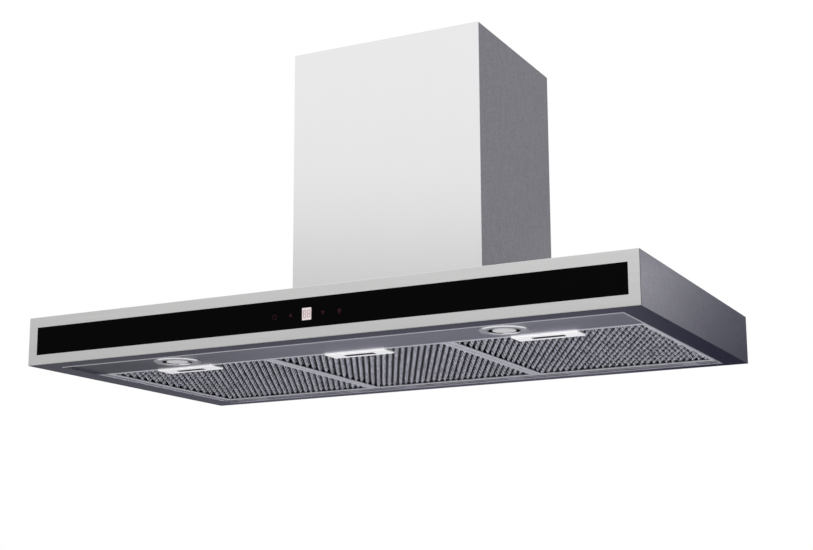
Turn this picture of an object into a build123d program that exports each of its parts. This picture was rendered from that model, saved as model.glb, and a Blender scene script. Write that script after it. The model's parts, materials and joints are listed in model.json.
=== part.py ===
from build123d import *
import math
import os

# Wall-mounted chimney range hood with three hinged grease filters, a telescopic chimney,
# a double-inlet blower and a duct collar with a two-leaf damper.
# X runs across the hood, the front faces -Y, the wall is Y = 0 and the underside is Z = 0.

os.makedirs("parts", exist_ok=True)

# Canopy
canopy_width = 900
canopy_depth = 480
canopy_height = 68
canopy_sheet = 1.0
flange_side = 34
flange_front = 34
flange_rear = 20
lip_height = 12

# Front fascia and control glass
fascia_sheet = 1.2
fascia_return = 12
fascia_nest = 0.4
fascia_bend = 0.6
seam = 1.2
glass_width = 870.4
glass_height = 38.4
glass_thickness = 4
glass_base = 14.4
glass_clearance = 0.4
glass_setback = 0.3
glass_bevel = 0.4

# Touch controls
control_x = 2
control_z = 32
key_pitch = 24
key_pad_radius = 5
display_width = 13.6
display_height = 16
display_stand_off = 0.3
aperture_margin = 10
housing_depth = 16
housing_wall = 1.5
housing_lap = 4
board_thickness = 1.6
board_clearance = 0.5
board_setback = 3
post_radius = 2.5

# Light panel and lamps
panel_recess = 3
panel_depth = 91
panel_sheet = 1.0
panel_upstand = 11
panel_clearance = 0.2
lamp_spacing = 497
lamp_offset = -5.5
bezel_radius = 32.5
bezel_drop = 2.4
bezel_edge = 1.0
bezel_opening = 20
bezel_barrel = 27.5
bezel_barrel_length = 8
bezel_wall = 2
bezel_shelf = 1.0
lamp_fit = 0.3
notch_width = 5
notch_depth = 3
lens_thickness = 2
lens_boss = 2.8
lens_centre = 15
can_height = 24
can_wall = 1.2
can_shoulder = 7
bulb_radius = 4.5
bulb_length = 15
bulb_tip = 2.5

# Grease filters
filter_count = 3
filter_gap = 1.5
filter_height = 10
filter_lip = 8
filter_wall = 2
filter_sheet = 1.0
filter_corner = 3
mesh_clearance = 0.2
mesh_sheet = 1.2
ridge_pitch = 8.5
ridge_angle = 28
hook_radius = 2.5
hook_play = 0.1
hook_neck = 7
hook_neck_thickness = 2.4
hook_width = 24
hook_spacing = 180
rail_sheet = 1.2
groove_upper_angle = 140
groove_lower_angle = -60

# Filter handle and latch
handle_width = 92
handle_depth = 33
handle_plate = 2.2
handle_inset = 0.5
handle_corner = 2
handle_bevel = 0.6
finger_width = 46
finger_depth = 12
finger_setback = 13
finger_round = 2
finger_room = 5
latch_travel = 5
latch_tab = 1.5
latch_play = 0.5
latch_lift = 0.4
slider_thickness = 2.5
slider_side_play = 0.5
slider_length = 14.4
runner_width = 3
tongue_width = 24
housing_side = 1.5
housing_height = 6
leaf_thickness = 0.4
leaf_height = 1.6
leaf_span = 32
leaf_room = 0.8

# Chimney covers
chimney_width = 304
chimney_depth = 264
chimney_sheet = 1.0
chimney_bend = 2
lower_height = 412
chimney_return = 12
chimney_foot = 11
chimney_screw_inset = 66
telescope_play = 1.3
upper_height = 402
upper_lift = 8
upper_rest_gap = 0.3
louvre_count = 6
louvre_length = 60
louvre_width = 4
louvre_pitch = 11
louvre_top = 40
rest_sheet = 1.5
rest_depth = 40
rest_leg = 24
rest_play = 0.5
bracket_sheet = 1.5
bracket_height = 30
bracket_top = 8
bracket_play = 0.7
bracket_step = 14
bracket_wing = 30
bracket_hole = 3
bracket_hole_spacing = 200

# Blower chassis
chassis_width = 268
chassis_depth = 246
chassis_height = 312
chassis_sheet = 1.2
chassis_foot = 14
chassis_screw_inset = 49
cover_screw_inset = 47
chassis_front_return = 12
wall_hole = 4
wall_hole_spacing_x = 200
wall_hole_spacing_z = 220
wall_hole_base = 58
inlet_margin = 16

# Scroll, impeller and motor
impeller_radius = 78
impeller_bore = 60
impeller_width = 100
impeller_ring = 3
impeller_disc = 2
blade_count = 36
blade_thickness = 1.0
blade_inner = 63
blade_lean = 9
blade_bow = 1.5
hub_radius = 12
hub_length = 16
scroll_gap = 8
scroll_step = 6
scroll_sheet = 1.0
scroll_side_gap = 6
scroll_front_gap = 3
scroll_drop = 150
scroll_flange = 20
inlet_radius = 62
inlet_lip = 6
shaft_radius = 4
shaft_fit = 0.05
shaft_overhang = 10
nut_radius = 7
nut_length = 5
motor_radius = 44
motor_length = 68
motor_gap = 2
motor_edge = 5
end_cap_radius = 40
end_cap_length = 12
end_boss_radius = 12
end_boss_length = 6
bracket_ring = 3
bracket_ring_length = 10
bracket_arm = 12
bracket_arm_sheet = 2
arm_count = 3
mount_radius = 6
mount_length = 5
capacitor_radius = 16
capacitor_length = 60
capacitor_edge = 2
capacitor_setback = 60
capacitor_drop = 48

# Duct collar and damper
collar_radius = 75
collar_wall = 1.5
collar_height = 55
collar_flange = 15
collar_lead = 2
damper_height = 24
damper_pin_radius = 2
damper_pin_play = 0.08
damper_seat = 5
damper_seat_gap = 0.4
damper_edge_gap = 3
knuckle_radius = 3.5
knuckle_length = 20
knuckle_gap = 4
flap_sheet = 1.2
flap_root = 4.6
boss_radius = 4
boss_length = 6
boss_root = 0.5

# Electrical boxes on the canopy's ceiling
box_width = 120
box_depth = 110
box_height = 40
box_wall = 2
box_side = 180
box_y = -135
lid_thickness = 2
driver_width = 90
driver_depth = 80
driver_height = 30
driver_side = 195
driver_y = -140
gland_radius = 10
gland_bore = 4
gland_flange = 4
gland_dome = 12
gland_stub = 9
gland_edge = 2.5
gland_side = 29
gland_inset = 31

# Screws
screw_radius = 2
screw_hole = 2.3
screw_head_radius = 3.8
screw_head = 2
screw_length = 7

# Places that follow from the sizes above
front_y = -canopy_depth
shell_front_y = front_y + fascia_sheet + seam
bay_half = canopy_width / 2 - flange_side
bay_front_y = front_y + flange_front
bay_rear_y = -flange_rear
bay_mid_y = (bay_front_y + bay_rear_y) / 2
bay_depth = bay_rear_y - bay_front_y
ceiling = canopy_height - canopy_sheet
box_x = box_side - canopy_width / 2
driver_x = canopy_width / 2 - driver_side

window_width = glass_width + 2 * glass_clearance
window_height = glass_height + 2 * glass_clearance
window_z = glass_base + glass_height / 2
recess_floor = glass_setback + glass_thickness + glass_clearance
recess_back_y = front_y + recess_floor + fascia_sheet
glass_back_y = front_y + glass_setback + glass_thickness
aperture_width = 4 * key_pitch + 2 * (key_pad_radius + aperture_margin)
aperture_height = display_height + aperture_margin
board_y = recess_back_y + board_setback

panel_front_y = bay_front_y + panel_clearance
panel_rear_y = panel_front_y + panel_depth
panel_mid_y = (panel_front_y + panel_rear_y) / 2
bezel_top = panel_recess + bezel_barrel_length
bezel_inner = bezel_barrel - bezel_wall
shelf_z = panel_recess + bezel_shelf
lens_radius = bezel_inner - lamp_fit
can_base = shelf_z + lens_thickness
can_top = can_base + can_height

filter_width = (2 * bay_half - (filter_count + 1) * filter_gap) / filter_count
filter_pitch = filter_width + filter_gap
filter_front_y = panel_rear_y + filter_gap
groove_radius = hook_radius + hook_play
hinge_y = bay_rear_y - rail_sheet - groove_radius
hinge_z = panel_recess + filter_height / 2
filter_rear_y = hinge_y - hook_neck
filter_depth = filter_rear_y - filter_front_y
filter_mid_y = (filter_front_y + filter_rear_y) / 2
filter_floor = panel_recess + filter_sheet
mesh_low = filter_floor + mesh_clearance
mesh_high = panel_recess + filter_height - filter_sheet - mesh_clearance

handle_base = panel_recess - handle_plate
handle_front_y = filter_front_y + handle_inset
finger_front_y = filter_front_y + finger_setback
finger_rear_y = finger_front_y + finger_depth
slider_front_y = finger_front_y - latch_play
slider_rear_y = slider_front_y + slider_length
slider_half = finger_width / 2 + slider_side_play + runner_width
slider_base = filter_floor + latch_lift
slider_top = slider_base + slider_thickness
tongue_tip_y = panel_rear_y + latch_play
latch_back_y = slider_rear_y + latch_travel + leaf_room
house_front_y = filter_front_y + filter_lip + handle_inset
house_half = slider_half + slider_side_play + housing_side

chimney_front_y = -chimney_depth
chimney_base = canopy_height
lower_inner = chimney_width - 2 * chimney_sheet
upper_width = lower_inner - 2 * telescope_play
upper_front_y = chimney_front_y + chimney_sheet + telescope_play
upper_rear_y = -chimney_sheet - telescope_play
upper_base = chimney_base + upper_lift
upper_top = upper_base + upper_height
upper_half_inner = upper_width / 2 - chimney_sheet

chassis_top = canopy_height + chassis_height
chassis_half = chassis_width / 2
chassis_inner = chassis_half - chassis_sheet
chassis_front_y = -chassis_depth
outlet_plate = chassis_top - chassis_sheet
gland_x = chassis_half - gland_side
gland_y = chassis_front_y + gland_inset

scroll_half = impeller_width / 2 + scroll_side_gap
scroll_r1 = impeller_radius + scroll_gap
scroll_r2 = scroll_r1 + scroll_step
scroll_r3 = scroll_r2 + scroll_step
fan_y = chassis_front_y + scroll_front_gap + scroll_sheet + scroll_r1
fan_z = outlet_plate - scroll_drop
throat_rear_y = fan_y + scroll_step + scroll_r3
outlet_y = (fan_y + throat_rear_y) / 2
plate_out = scroll_half + scroll_sheet
motor_start = hub_length / 2 + motor_gap
motor_end = motor_start + motor_length
arm_start = plate_out + mount_length
arm_reach = inlet_radius + inlet_lip + mount_radius

collar_inner = collar_radius - collar_wall
collar_base = chassis_top
collar_screw_radius = collar_radius + collar_flange / 2
damper_z = collar_base + damper_height
flap_radius = collar_inner - damper_edge_gap

chimney_screw_points = [
    (side * (lower_inner / 2 - chimney_foot / 2), y, ceiling)
    for side in (-1, 1)
    for y in (-chimney_screw_inset, chimney_front_y + chimney_screw_inset)
]
chassis_screw_points = [
    (side * (chassis_inner - chassis_foot / 2), y, ceiling)
    for side in (-1, 1)
    for y in (-chassis_screw_inset, chassis_front_y + chassis_screw_inset)
]
roof_screw_points = chimney_screw_points + chassis_screw_points
outlet_screw_angles = (30, 150, 210, 330)
outlet_screw_points = [
    (
        collar_screw_radius * math.cos(math.radians(angle)),
        outlet_y + collar_screw_radius * math.sin(math.radians(angle)),
    )
    for angle in outlet_screw_angles
]
cover_screw_points = [
    (side * (chassis_inner - chassis_front_return / 2), z)
    for side in (-1, 1)
    for z in (canopy_height + cover_screw_inset, chassis_top - cover_screw_inset)
]


def block(x0, x1, y0, y1, z0, z1, mode=Mode.ADD):
    with Locations(((x0 + x1) / 2, (y0 + y1) / 2, (z0 + z1) / 2)):
        Box(x1 - x0, y1 - y0, z1 - z0, mode=mode)


def save(piece, name):
    piece.part.label = name
    export_step(piece.part, f"parts/{name}.step")


# Canopy: a folded sheet box, open at the front, with a return flange and lip round the filter bay
with BuildPart() as canopy_shell:
    with BuildSketch():
        with Locations((0, shell_front_y / 2)):
            Rectangle(canopy_width, -shell_front_y)
    extrude(amount=canopy_height)
    mouth = canopy_shell.faces().sort_by(Axis.Y)[0]
    offset(amount=-canopy_sheet, openings=mouth)
    with BuildSketch():
        with Locations((0, bay_mid_y)):
            Rectangle(2 * bay_half, bay_depth)
    extrude(amount=canopy_sheet, mode=Mode.SUBTRACT)
    with BuildSketch():
        with Locations((0, bay_mid_y)):
            Rectangle(2 * (bay_half + canopy_sheet), bay_depth + 2 * canopy_sheet)
            Rectangle(2 * bay_half, bay_depth, mode=Mode.SUBTRACT)
    extrude(amount=lip_height)
    with BuildSketch(Plane.XY.offset(ceiling)):
        with Locations((0, chassis_front_y / 2)):
            Rectangle(chassis_width - 2 * inlet_margin, chassis_depth - 2 * inlet_margin)
        with Locations(*[(x, y) for x, y, z in roof_screw_points]):
            Circle(screw_hole)
    extrude(amount=canopy_sheet, mode=Mode.SUBTRACT)
canopy_shell.part.label = "canopy_shell"
export_step(canopy_shell.part, "parts/canopy_shell.step")

# Front fascia: a flat frame with a drawn recess for the glass and a return that nests in the canopy
with BuildPart() as front_fascia:
    with BuildSketch(Plane.XZ.offset(canopy_depth)):
        with Locations((0, canopy_height / 2)):
            Rectangle(canopy_width, canopy_height)
    extrude(amount=-fascia_sheet)
    front_edges = front_fascia.faces().sort_by(Axis.Y)[0].edges()
    fillet(front_edges, fascia_bend)
    with BuildSketch(Plane.XZ.offset(canopy_depth)):
        with Locations((0, window_z)):
            Rectangle(window_width, window_height)
    extrude(amount=-fascia_sheet, mode=Mode.SUBTRACT)
    with BuildSketch(Plane.XZ.offset(canopy_depth)):
        with Locations((0, window_z)):
            Rectangle(window_width + 2 * fascia_sheet, window_height + 2 * fascia_sheet)
            Rectangle(window_width, window_height, mode=Mode.SUBTRACT)
    extrude(amount=-recess_floor)
    with BuildSketch(Plane.XZ.offset(canopy_depth - recess_floor)):
        with Locations((0, window_z)):
            Rectangle(window_width + 2 * fascia_sheet, window_height + 2 * fascia_sheet)
        with Locations((control_x, control_z)):
            Rectangle(aperture_width, aperture_height, mode=Mode.SUBTRACT)
    extrude(amount=-fascia_sheet)
    return_width = canopy_width - 2 * (canopy_sheet + fascia_nest)
    return_height = canopy_height - 2 * (canopy_sheet + fascia_nest)
    with BuildSketch(Plane.XZ.offset(canopy_depth - fascia_sheet)):
        with Locations((0, canopy_height / 2)):
            Rectangle(return_width, return_height)
            Rectangle(return_width - 2 * fascia_sheet, return_height - 2 * fascia_sheet, mode=Mode.SUBTRACT)
    extrude(amount=-fascia_return)
front_fascia.part.label = "front_fascia"
export_step(front_fascia.part, "parts/front_fascia.step")

# Control glass, set into the recess
with BuildPart() as control_glass:
    with BuildSketch(Plane.XZ.offset(canopy_depth - glass_setback)):
        with Locations((0, window_z)):
            Rectangle(glass_width, glass_height)
    extrude(amount=-glass_thickness)
    glass_edges = control_glass.faces().sort_by(Axis.Y)[0].edges()
    chamfer(glass_edges, glass_bevel)
control_glass.part.label = "control_glass"
export_step(control_glass.part, "parts/control_glass.step")

# Control housing: an open tray on the back of the recess
with BuildPart() as control_housing:
    with BuildSketch(Plane.XZ.offset(-recess_back_y)):
        with Locations((control_x, control_z)):
            Rectangle(aperture_width + 2 * housing_lap, aperture_height + 2 * housing_lap)
    extrude(amount=-housing_depth)
    tray_mouth = control_housing.faces().sort_by(Axis.Y)[0]
    offset(amount=-housing_wall, openings=tray_mouth)
    with BuildSketch(Plane.XZ.offset(-board_y - board_thickness)):
        with Locations((control_x, control_z)):
            with GridLocations(aperture_width - key_pitch, aperture_height - 2 * housing_lap, 2, 2):
                Circle(post_radius)
    extrude(amount=-(recess_back_y + housing_depth - board_y - board_thickness))
control_housing.part.label = "control_housing"
export_step(control_housing.part, "parts/control_housing.step")

board_width = aperture_width + 2 * (housing_lap - housing_wall - board_clearance)
board_height = aperture_height + 2 * (housing_lap - housing_wall - board_clearance)

# Control board on the housing's four posts
with BuildPart() as control_board:
    with BuildSketch(Plane.XZ.offset(-board_y)):
        with Locations((control_x, control_z)):
            Rectangle(board_width, board_height)
    extrude(amount=-board_thickness)
control_board.part.label = "control_board"
export_step(control_board.part, "parts/control_board.step")

# Display module, standing from the board to just behind the glass
with BuildPart() as display_module:
    with BuildSketch(Plane.XZ.offset(-board_y)):
        with Locations((control_x, control_z)):
            Rectangle(display_width, display_height)
    extrude(amount=board_y - glass_back_y - display_stand_off)
display_module.part.label = "display_module"
export_step(display_module.part, "parts/display_module.step")

# Touch pads, one behind each printed key
with BuildPart() as touch_pads:
    with BuildSketch(Plane.XZ.offset(-board_y)):
        for key in (-2, -1, 1, 2):
            with Locations((control_x + key * key_pitch, control_z)):
                Circle(key_pad_radius)
    extrude(amount=board_y - glass_back_y - display_stand_off)
touch_pads.part.label = "touch_pads"
export_step(touch_pads.part, "parts/touch_pads.step")

# Light panel: a folded channel between the front flange and the filters
with BuildPart() as light_panel:
    with BuildSketch(Plane.YZ):
        with Locations((panel_mid_y, panel_recess + panel_upstand / 2)):
            Rectangle(panel_depth, panel_upstand)
        with Locations((panel_mid_y, panel_recess + panel_sheet + panel_upstand / 2)):
            Rectangle(panel_depth - 2 * panel_sheet, panel_upstand, mode=Mode.SUBTRACT)
    extrude(amount=bay_half - panel_clearance, both=True)
    with BuildSketch(Plane.XY.offset(panel_recess)):
        with Locations((lamp_offset, panel_mid_y)):
            with GridLocations(lamp_spacing, 1, 2, 1):
                Circle(bezel_barrel + lamp_fit)
    extrude(amount=panel_sheet, mode=Mode.SUBTRACT)
light_panel.part.label = "light_panel"
export_step(light_panel.part, "parts/light_panel.step")


def make_lamp(side, lamp_x):
    section = Plane(origin=(lamp_x, panel_mid_y, 0), x_dir=(1, 0, 0), z_dir=(0, -1, 0))
    spin = Axis((lamp_x, panel_mid_y, 0), (0, 0, 1))
    rim_low = panel_recess - bezel_drop

    # Bezel: a turned ring with a rounded rim, a barrel through the panel and a shelf for the lens
    with BuildPart() as bezel:
        with BuildSketch(section):
            with BuildLine():
                Polyline(
                    (bezel_opening, shelf_z),
                    (bezel_opening, rim_low + bezel_edge),
                    (bezel_opening + 2 * bezel_edge, rim_low),
                    (bezel_radius - 2 * bezel_edge, rim_low),
                    (bezel_radius, panel_recess - bezel_edge),
                    (bezel_radius, panel_recess),
                    (bezel_barrel, panel_recess),
                    (bezel_barrel, bezel_top),
                    (bezel_inner, bezel_top),
                    (bezel_inner, shelf_z),
                    close=True,
                )
            make_face()
        revolve(axis=spin)
        for turn in (-1, 1):
            notch_x = lamp_x + turn * (bezel_opening + notch_depth / 2)
            with Locations((notch_x, panel_mid_y, rim_low)):
                Box(notch_depth, notch_width, bezel_edge, mode=Mode.SUBTRACT)
    save(bezel, f"lamp_{side}_bezel")

    # Lens: a frosted disc lying on the shelf, with a raised centre and a groove round it
    with BuildPart() as lens:
        with BuildSketch(section):
            with BuildLine():
                Polyline(
                    (0, can_base),
                    (0, shelf_z - lens_boss),
                    (lens_centre, shelf_z - lens_boss),
                    (lens_centre, shelf_z),
                    (lens_radius, shelf_z),
                    (lens_radius, can_base),
                    close=True,
                )
            make_face()
        revolve(axis=spin)
    save(lens, f"lamp_{side}_lens")

    # Can: a spun reflector cup, pushed into the bezel's barrel
    with BuildPart() as can:
        with BuildSketch(section):
            with BuildLine():
                Polyline(
                    (0, can_top),
                    (lens_radius - can_shoulder, can_top),
                    (lens_radius, can_top - can_shoulder),
                    (lens_radius, can_base),
                    (lens_radius - can_wall, can_base),
                    (lens_radius - can_wall, can_top - can_shoulder - can_wall / 2),
                    (lens_radius - can_shoulder - can_wall / 2, can_top - can_wall),
                    (0, can_top - can_wall),
                    close=True,
                )
            make_face()
        revolve(axis=spin)
    save(can, f"lamp_{side}_can")

    # Bulb: a small capsule standing down from the can's crown
    with BuildPart() as bulb:
        with Locations((lamp_x, panel_mid_y, can_top - can_wall)):
            Cylinder(bulb_radius, bulb_length, align=(Align.CENTER, Align.CENTER, Align.MAX))
        tip = bulb.faces().sort_by(Axis.Z)[0].edges()
        chamfer(tip, bulb_tip)
    save(bulb, f"lamp_{side}_bulb")


make_lamp("left", lamp_offset - lamp_spacing / 2)
make_lamp("right", lamp_offset + lamp_spacing / 2)

# Rear rail: an extrusion whose round groove holds the filters' hooks, open to the front and below
with BuildPart() as rear_rail:
    with BuildSketch(Plane.YZ):
        with Locations((bay_rear_y - rail_sheet / 2, (panel_recess + lip_height) / 2)):
            Rectangle(rail_sheet, lip_height - panel_recess)
        with Locations((hinge_y, hinge_z)):
            Circle(groove_radius + rail_sheet)
            Circle(groove_radius, mode=Mode.SUBTRACT)
        with Locations((bay_rear_y + groove_radius, hinge_z)):
            Rectangle(2 * groove_radius, 4 * groove_radius, mode=Mode.SUBTRACT)
        with BuildLine():
            wedge = 4 * groove_radius
            upper = math.radians(groove_upper_angle)
            lower = math.radians(groove_lower_angle)
            Polyline(
                (hinge_y, hinge_z),
                (hinge_y + wedge * math.cos(upper), hinge_z + wedge * math.sin(upper)),
                (hinge_y - wedge, hinge_z - wedge),
                (hinge_y + wedge * math.cos(lower), hinge_z + wedge * math.sin(lower)),
                close=True,
            )
        make_face(mode=Mode.SUBTRACT)
    extrude(amount=bay_half - panel_clearance, both=True)
rear_rail.part.label = "rear_rail"
export_step(rear_rail.part, "parts/rear_rail.step")


def make_filter(side, mid_x):
    # Frame: a channel round the mesh, with two round-ended hooks at the rear
    with BuildPart() as frame:
        with BuildSketch(Plane.XY.offset(panel_recess)):
            with Locations((mid_x, filter_mid_y)):
                RectangleRounded(filter_width, filter_depth, filter_corner)
                Rectangle(filter_width - 2 * filter_lip, filter_depth - 2 * filter_lip, mode=Mode.SUBTRACT)
        extrude(amount=filter_height)
        with BuildSketch(Plane.XY.offset(filter_floor)):
            with Locations((mid_x, filter_mid_y)):
                Rectangle(filter_width - 2 * filter_wall, filter_depth - 2 * filter_wall)
        extrude(amount=filter_height - 2 * filter_sheet, mode=Mode.SUBTRACT)
        for turn in (-1, 1):
            with BuildSketch(Plane.YZ.offset(mid_x + turn * hook_spacing / 2)):
                with Locations((hinge_y - hook_neck / 2, hinge_z)):
                    Rectangle(hook_neck, hook_neck_thickness)
                with Locations((hinge_y, hinge_z)):
                    Circle(hook_radius)
            extrude(amount=hook_width / 2, both=True)
        block(
            mid_x - tongue_width / 2 - latch_play,
            mid_x + tongue_width / 2 + latch_play,
            filter_front_y,
            filter_front_y + filter_wall,
            filter_floor,
            slider_top + latch_lift,
            mode=Mode.SUBTRACT,
        )
    save(frame, f"filter_{side}_frame")

    # Mesh: one sheet pleated across a slanted direction and cut to the frame's channel
    slant = math.radians(ridge_angle)
    mesh_width = filter_width - 2 * (filter_wall + mesh_clearance)
    mesh_depth = filter_depth - 2 * (filter_wall + mesh_clearance)
    reach = math.hypot(mesh_width, mesh_depth)
    ridge_count = math.ceil(reach / ridge_pitch)
    pleat_plane = Plane(
        origin=(mid_x, filter_mid_y, 0),
        x_dir=(-math.cos(slant), -math.sin(slant), 0),
        z_dir=(-math.sin(slant), math.cos(slant), 0),
    )
    crest = mesh_high - mesh_sheet
    lower_edge = []
    for step in range(2 * ridge_count + 1):
        along = (step - ridge_count) * ridge_pitch / 2
        lower_edge.append((along, mesh_low if step % 2 == 0 else crest))
    upper_edge = [(along, height + mesh_sheet) for along, height in reversed(lower_edge)]
    with BuildPart() as mesh:
        with BuildSketch(pleat_plane):
            with BuildLine():
                Polyline(*lower_edge, *upper_edge, close=True)
            make_face()
        extrude(amount=reach / 2, both=True)
        with Locations((mid_x, filter_mid_y, hinge_z)):
            Box(mesh_width, mesh_depth, filter_height, mode=Mode.INTERSECT)
        block(
            mid_x - house_half - latch_play,
            mid_x + house_half + latch_play,
            filter_front_y,
            latch_back_y + housing_side + latch_play,
            panel_recess,
            panel_recess + filter_height,
            mode=Mode.SUBTRACT,
        )
    save(mesh, f"filter_{side}_mesh")

    # Handle: a bevelled plate with a finger slot, and a house for the latch behind it
    with BuildPart() as handle:
        with BuildSketch(Plane.XY.offset(handle_base)):
            with Locations((mid_x, handle_front_y + handle_depth / 2)):
                RectangleRounded(handle_width, handle_depth, handle_corner)
        extrude(amount=handle_plate)
        rim = handle.faces().sort_by(Axis.Z)[0].edges()
        chamfer(rim, handle_bevel)
        block(
            mid_x - house_half,
            mid_x + house_half,
            house_front_y,
            latch_back_y + housing_side,
            panel_recess,
            panel_recess + housing_height,
        )
        block(
            mid_x - house_half + housing_side,
            mid_x + house_half - housing_side,
            house_front_y,
            latch_back_y,
            panel_recess,
            slider_top + latch_lift,
            mode=Mode.SUBTRACT,
        )
        with BuildSketch(Plane.XY.offset(handle_base)):
            with Locations((mid_x, (finger_front_y + finger_rear_y) / 2)):
                RectangleRounded(finger_width, finger_depth, finger_round)
        extrude(amount=handle_plate, mode=Mode.SUBTRACT)
    save(handle, f"filter_{side}_handle")

    # Latch slider: a plate on two runners, with a finger tab in the slot and a tongue to the front
    with BuildPart() as slider:
        block(
            mid_x - slider_half,
            mid_x + slider_half,
            slider_front_y,
            slider_rear_y,
            slider_base,
            slider_top,
        )
        block(
            mid_x - tongue_width / 2,
            mid_x + tongue_width / 2,
            tongue_tip_y,
            slider_front_y,
            slider_base,
            slider_top,
        )
        tab_y = finger_front_y + finger_room
        tab_half = finger_width / 2 - finger_round - slider_side_play
        block(
            mid_x - tab_half,
            mid_x + tab_half,
            tab_y,
            tab_y + latch_tab,
            handle_base + handle_bevel,
            slider_base,
        )
        for turn in (-1, 1):
            runner_x = mid_x + turn * (slider_half - runner_width / 2)
            block(
                runner_x - runner_width / 2,
                runner_x + runner_width / 2,
                slider_front_y,
                slider_rear_y,
                panel_recess + latch_lift,
                slider_base,
            )
    save(slider, f"latch_{side}_slider")

    # Latch spring: a bowed leaf between the slider and the back of the house
    with BuildPart() as spring:
        leaf_back = latch_back_y - leaf_thickness
        leaf_tip = slider_rear_y + leaf_thickness
        with BuildSketch(Plane.XY.offset(slider_base + latch_lift)):
            with BuildLine():
                ThreePointArc(
                    (mid_x - leaf_span / 2, leaf_back),
                    (mid_x, leaf_tip),
                    (mid_x + leaf_span / 2, leaf_back),
                )
            trace(line_width=leaf_thickness)
        extrude(amount=leaf_height)
    save(spring, f"latch_{side}_spring")


make_filter("left", -filter_pitch)
make_filter("middle", 0)
make_filter("right", filter_pitch)


def cover_profile(width, front, rear):
    # A folded U in plan: front, two sides and a narrow return at each rear edge
    mid = (front + rear) / 2
    deep = rear - front
    with Locations((0, mid)):
        RectangleRounded(width, deep, chimney_bend)
        RectangleRounded(
            width - 2 * chimney_sheet,
            deep - 2 * chimney_sheet,
            chimney_bend - chimney_sheet,
            mode=Mode.SUBTRACT,
        )
    with Locations((0, rear)):
        Rectangle(width - 2 * chimney_return, 2 * chimney_return, mode=Mode.SUBTRACT)


# Lower chimney cover: stands on the canopy on an inward foot that the roof screws hold
with BuildPart() as lower_chimney:
    with BuildSketch(Plane.XY.offset(chimney_base)):
        cover_profile(chimney_width, chimney_front_y, 0)
    extrude(amount=lower_height)
    foot_inner = lower_inner - 2 * chimney_foot
    foot_front_y = chimney_front_y + chimney_sheet + chimney_foot
    with BuildSketch(Plane.XY.offset(chimney_base)):
        with Locations((0, (chimney_front_y - chimney_sheet) / 2)):
            Rectangle(lower_inner, chimney_depth - 3 * chimney_sheet)
        with Locations((0, foot_front_y / 2)):
            Rectangle(foot_inner, -foot_front_y, mode=Mode.SUBTRACT)
        with Locations(*[(x, y) for x, y, z in chimney_screw_points]):
            Circle(screw_hole, mode=Mode.SUBTRACT)
    extrude(amount=chimney_sheet)
lower_chimney.part.label = "lower_chimney"
export_step(lower_chimney.part, "parts/lower_chimney.step")

# Upper chimney cover: the same fold, one play smaller, with outlet louvres near its top
with BuildPart() as upper_chimney:
    with BuildSketch(Plane.XY.offset(upper_base)):
        cover_profile(upper_width, upper_front_y, upper_rear_y)
    extrude(amount=upper_height)
    louvre_mid_z = upper_top - louvre_top - louvre_pitch * (louvre_count - 1) / 2
    with BuildSketch(Plane.YZ):
        with Locations(((upper_front_y + upper_rear_y) / 2, louvre_mid_z)):
            with GridLocations(1, louvre_pitch, 1, louvre_count):
                SlotOverall(louvre_length, louvre_width)
    extrude(amount=upper_width, both=True, mode=Mode.SUBTRACT)
upper_chimney.part.label = "upper_chimney"
export_step(upper_chimney.part, "parts/upper_chimney.step")

# Wall bracket of the upper cover: a strip on the wall, stepped forward and out to the cover's sides
with BuildPart() as chimney_bracket:
    strip_half = upper_width / 2 - chimney_return - bracket_play
    wing_out = upper_half_inner
    wing_end_y = -bracket_step - bracket_wing
    with BuildSketch(Plane.XY.offset(upper_top - bracket_top - bracket_height)):
        with BuildLine():
            Polyline(
                (-wing_out, wing_end_y),
                (-wing_out, -bracket_step),
                (-strip_half, -bracket_step),
                (-strip_half, 0),
                (strip_half, 0),
                (strip_half, -bracket_step),
                (wing_out, -bracket_step),
                (wing_out, wing_end_y),
                (wing_out - bracket_sheet, wing_end_y),
                (wing_out - bracket_sheet, -bracket_step - bracket_sheet),
                (strip_half - bracket_sheet, -bracket_step - bracket_sheet),
                (strip_half - bracket_sheet, -bracket_sheet),
                (bracket_sheet - strip_half, -bracket_sheet),
                (bracket_sheet - strip_half, -bracket_step - bracket_sheet),
                (bracket_sheet - wing_out, -bracket_step - bracket_sheet),
                (bracket_sheet - wing_out, wing_end_y),
                close=True,
            )
        make_face()
    extrude(amount=bracket_height)
    bracket_z = upper_top - bracket_top - bracket_height / 2
    with BuildSketch(Plane.XZ):
        with Locations((0, bracket_z)):
            with GridLocations(bracket_hole_spacing, 1, 2, 1):
                Circle(bracket_hole)
    extrude(amount=bracket_sheet, mode=Mode.SUBTRACT)
chimney_bracket.part.label = "chimney_bracket"
export_step(chimney_bracket.part, "parts/chimney_bracket.step")

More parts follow.
